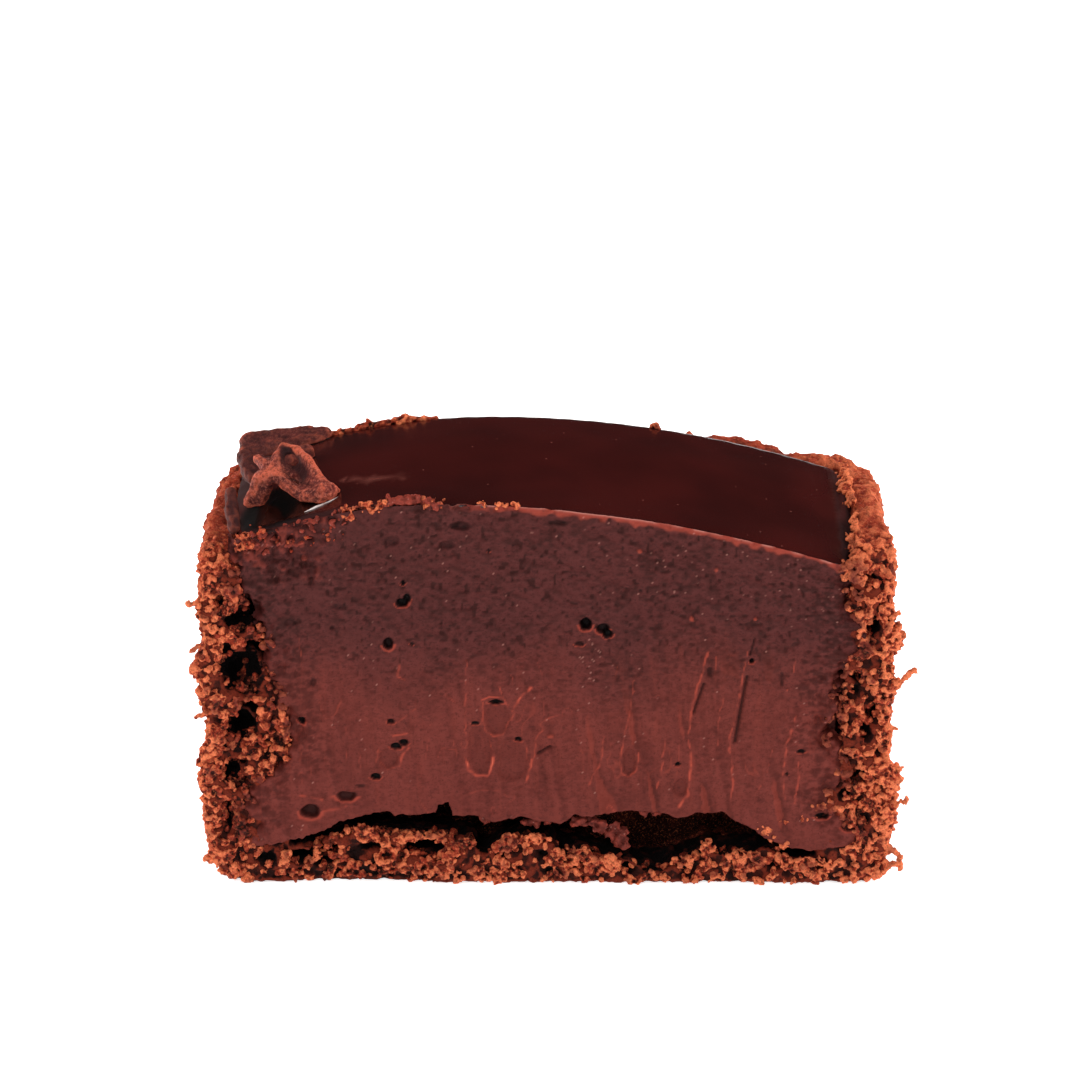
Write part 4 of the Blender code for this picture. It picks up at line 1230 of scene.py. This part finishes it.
# %% Torn filling
def torn_piece(name, centres, radii, glow):
    """Lumps of filling that the knife tore up and left on the cut."""
    piece = even_mesh(new_object(name, *stones(centres, radii)), voxel=0.07)
    thin_out(piece, most=12000)
    points, _ = arrays_of(piece)
    points += normals_of(piece) * (0.09 * layered(points / 0.3, 78, 3))[:, None]
    move_to(piece, points)
    piece.data.materials.append(GANACHE)
    piece.data.shade_smooth()
    proud = standing_out(piece, points, relaxed(piece, points, 16))
    mottle = layered(points / 0.4, 79, 2)
    # Painted light where the lumps stand proud, painted shade in their hollows, and a few painted
    # glints.
    store(
        piece, tone=np.clip(0.5 + 0.25 * mottle + 2.0 * proud, 0, 1),
        glow=np.clip(glow + 0.12 * mottle + 1.2 * proud, 0, 1), hole=0.0, upper=0.0,
        spark=(chance.random(len(points)) < 0.012) * 0.5)
    dress(piece, "filling")


def shaky(count, size):
    """Small random steps either way."""
    return size * chance.normal(size=count)


LUMP_COUNT, PER_BIT, BAND_COUNT = 15, 26, 95
gx = np.linspace(-12.0, -7.8, LUMP_COUNT)
swell = 0.30 + 0.16 * np.sin((gx + 12.0) * 0.95) + shaky(LUMP_COUNT, 0.05)
gz = lip_at(gx) + 0.28 * np.sin((gx + 12.3) * 0.85) + shaky(LUMP_COUNT, 0.05)
gy = CUT + 0.3 + shaky(LUMP_COUNT, 0.12)
torn_piece("torn_ridge", over(gx, gy, gz), np.maximum(swell, 0.2) * 1.1, glow=0.25)

# Bits that hang from the filling over the gap: (x, z, half width, half height).
HANGING = (
    (-4.6, 5.1, 0.3, 0.35), (-1.0, 4.7, 1.1, 0.2), (2.4, 4.8, 0.9, 0.35), (3.6, 4.4, 0.5, 0.4),
    (4.8, 4.0, 0.7, 0.6), (5.2, 3.1, 0.45, 0.45), (7.4, 5.5, 0.7, 0.15))
hang_x, hang_z, wide, tall = np.repeat(np.array(HANGING), PER_BIT, axis=0).T
count = len(hang_x)
turn, reach = chance.uniform(0, 2 * math.pi, count), chance.random(count) ** 0.5
gx, gz = hang_x + wide * reach * np.cos(turn), hang_z + tall * reach * np.sin(turn)
gy = CUT + 0.5 + np.abs(shaky(count, 0.3))
torn_piece("hanging_bits", over(gx, gy, gz), chance.uniform(0.14, 0.34, count), glow=0.05)

gx = chance.uniform(-21.6, -14.6, BAND_COUNT)
at_top = chance.random(BAND_COUNT) < 0.3
drop = np.where(at_top, 0.25, chance.uniform(0.6, 1.7, BAND_COUNT))
drop += 0.25 * lattice(over(gx, 0, 0), 83)
gz = lip_at(gx) - drop
gy = CUT + 0.12 + shaky(BAND_COUNT, 0.12)
radii = chance.uniform(0.14, 0.34, BAND_COUNT)
torn_piece("torn_band", over(gx, gy, gz), radii, glow=0.15)

# %% [markdown]
# ## Glaze
# A thin sheet of dark mirror glaze, with slow waves and a little dust. It is
# painted nearly black under the curled nib, as the nib's shadow and its dark
# reflection, and a painted highlight, a thin pale tube, runs along that nib's foot.

# %% Glaze
paint = Paint("glaze")
gloom, streak, dull = (paint.painted(name) for name in ("gloom", "streak", "dull"))
wave = paint.noise(110.0, 2.0)
band = paint.noise(60.0, 2.0, 0.5, paint.stretch((0.35, 1.0, 1.0)))
dust = paint.cells(700.0)
shine = paint.coats(
    paint.mix(wave.ramp(0.3, 0.7), colour(46, 12, 11), colour(60, 16, 14)),
    (band.ramp(0.45, 0.7) * 0.6, colour(36, 9, 8)),
    ((1.0 - dust.ramp(0.03, 0.05)) * 0.6, colour(150, 90, 80)),
    (streak, colour(150, 84, 74)),
    (gloom, colour(2, 0, 0)))
GLAZE = paint.finish(
    Base_Color=shine, Roughness=(0.14 + wave * 0.1 + dull * 0.8).clamped(),
    Specular_IOR_Level=0.5, Normal=paint.bump(wave, 0.25, 0.0004))

sheet = object_of(solid_copy("glaze"), "glaze_sheet")
sheet.data.materials.clear()
sheet.data.materials.append(GLAZE)
smoother = sheet.modifiers.new("smooth", "SUBSURF")
smoother.levels = smoother.render_levels = 2
bake(sheet)
points, _ = arrays_of(sheet)
x, y, z = points.T
MIDDLE, HALF_WIDE = -0.41, 22.36             # x and half width of the glaze, in mm
reach = (x - MIDDLE) / HALF_WIDE
at_side = step_up(0.965, 1.0, np.abs(reach))
x += 0.5 * np.sign(reach) * at_side          # across the clearance, under the crumb
z -= 0.7 * at_side
y += 0.3 * step_up(7.5, 8.5, y)
y[:] = np.maximum(y, CUT + 0.02)
move_to(sheet, points)
sheet.data.shade_smooth()
under_curl = step_up(1.12, 0.78, np.hypot((x + 19.4) / 3.3, (y + 8.2) / 4.3))
rolled = step_up(0.97, 0.85, normals_of(sheet)[:, 2]) * step_up(CUT + 0.8, CUT + 1.6, y)
torn_front = step_up(CUT + 1.1, CUT + 0.7, y) * step_up(-8.0, -10.0, x)
dull = np.maximum.reduce([at_side, rolled, torn_front, step_up(-20.5, -21.5, x)])
# A paler streak on the glaze, along this line.
BRUSHED = (-15.0, -6.0, -12.6, -6.8, -10.6, -7.1)           # x, y, x, y and so on
# Painted shade: near black under the curled nib, and darker where the sheet dips under the crumb at its
# sides.
store(
    sheet, gloom=np.maximum(under_curl, 0.35 * at_side), dull=dull,
    streak=0.35 * line_reach(x, y, BRUSHED, 0.45))
dress(sheet, "glaze")

# %% Highlight line
# A thin pale tube along the curled nib's foot, a painted highlight: (x, y, thickness).
WET_LINE = (
    (-17.5, -11.0, 0.02), (-17.1, -10.75, 0.06), (-16.7, -10.45, 0.09), (-16.3, -10.2, 0.08),
    (-15.9, -9.85, 0.05), (-15.5, -9.45, 0.05), (-15.2, -9.1, 0.02))
SIDES = 8
middle = np.array([(x, y, on_glaze(x, y) + 0.04) for x, y, _ in WET_LINE])
thick = np.array([thickness for *_, thickness in WET_LINE])
angle = np.linspace(0, 2 * math.pi, SIDES, endpoint=False)
ring = np.stack([np.cos(angle) * 0.6, np.cos(angle) * -0.8, np.sin(angle)], 1)
points = (middle[:, None] + ring[None] * thick[:, None, None]).reshape(-1, 3)
faces = []
for start in range(0, len(points) - SIDES, SIDES):
    for one in range(SIDES):
        two = (one + 1) % SIDES
        faces.append([start + k for k in (one, two, SIDES + two, SIDES + one)])
for start, order in ((0, 1), (len(points) - SIDES, -1)):
    caps = ((3, 2, 1, 0), (7, 4, 3, 0), (7, 6, 5, 4))
    faces += [[start + k for k in cap[::order]] for cap in caps]
paint = Paint("wet line")
glint = paint.noise(900.0, 2.0)
WET = paint.finish(
    Base_Color=paint.mix(glint.ramp(0.35, 0.6), colour(120, 80, 76), colour(244, 232, 228)),
    Roughness=0.3 + glint * 0.2)
dress(new_object("wet_line", points, faces, WET), "glaze")

# %% [markdown]
# ## Cocoa nibs
# Broken nibs have flat breaks, sharp ridges and a powdery skin.

# %% Cocoa nibs
paint = Paint("cocoa nib")
tip, shade = paint.painted("tip"), paint.painted("shade")
powder = paint.noise(4800.0, 4.0, 0.8)
broad = paint.noise(700.0, 3.0)
skin = paint.coats(
    paint.mix(broad.ramp(0.3, 0.7), colour(86, 31, 28), colour(126, 48, 40)),
    # Painted highlights where the nib stands proud, and painted shade in its hollows.
    (tip.ramp(0.5, 1.0), colour(212, 98, 70)),
    ((1.0 - tip.ramp(0.0, 0.42)) * 0.8, colour(46, 16, 15)),
    (powder.ramp(0.5, 0.6) * (0.6 - shade * 0.6), colour(222, 122, 98)),
    (powder.ramp(0.48, 0.38) * (0.65 - shade * 0.5), colour(50, 16, 15)),
    (shade, colour(44, 20, 22)))
NIB = paint.finish(
    Base_Color=skin, Roughness=0.62, Specular_IOR_Level=0.35,
    Normal=paint.bump(powder, 1.0, 0.0002))

# On the curled nib, seen from the cut: painted highlights along its ridges and painted
# shade in its hollow, as lines of x, z, x, z and so on.
CURL_RIDGES = (
    (-19.5, 31.65, -19.0, 31.4, -18.5, 31.15, -18.0, 31.1, -17.4, 30.85, -16.9, 30.45, -16.4, 30.1),
    (-21.4, 28.3, -20.8, 29.15, -20.1, 30.1, -19.5, 29.9))
CURL_HOLLOW = (-19.2, 30.75, -18.6, 30.3, -17.8, 29.75)
# How dark each nib is, for its place in the shade.
SHADES = {
    "nib_curl": 0.0, "nib_upright": 0.75, "nib_left": 0.7, "nib_middle": 0.5, "nib_back": 0.45}
for name in sorted(SHADES):
    nib = even_mesh(object_of(solid_copy(name), name.replace("nib", "broken_nib")), voxel=0.09)
    points, _ = arrays_of(nib)
    facets = 0.07 * np.abs(lattice(points / 1.3, 81)) + 0.03 * layered(points / 0.3, 82, 2)
    points -= normals_of(nib) * facets[:, None]
    points[:, 2] -= 0.3                      # down onto the glaze, across the clearance
    move_to(nib, points)
    proud = standing_out(nib, points, relaxed(nib, points, 16))
    # Painted light where the nib stands proud and painted shade where it dips.
    tip, shade = np.clip(0.42 + proud / 0.16, 0, 1), SHADES[name]
    if name == "nib_curl":
        x, z = points[:, 0] + 0.15 * lattice(points / 0.6, 84), points[:, 2]
        lit = np.maximum(*(line_reach(x, z, line, 0.4) for line in CURL_RIDGES))
        tip = np.clip(tip + 0.5 * lit, 0, 1)
        dark = np.minimum(1.5 * line_reach(x, z, CURL_HOLLOW, 0.75), 1)
        shade = np.maximum(shade, 0.85 * dark * (1 - lit))
    store(nib, tip=tip, shade=shade)
    nib.data.materials.append(NIB)
    nib.data.shade_smooth()
    dress(nib, name)
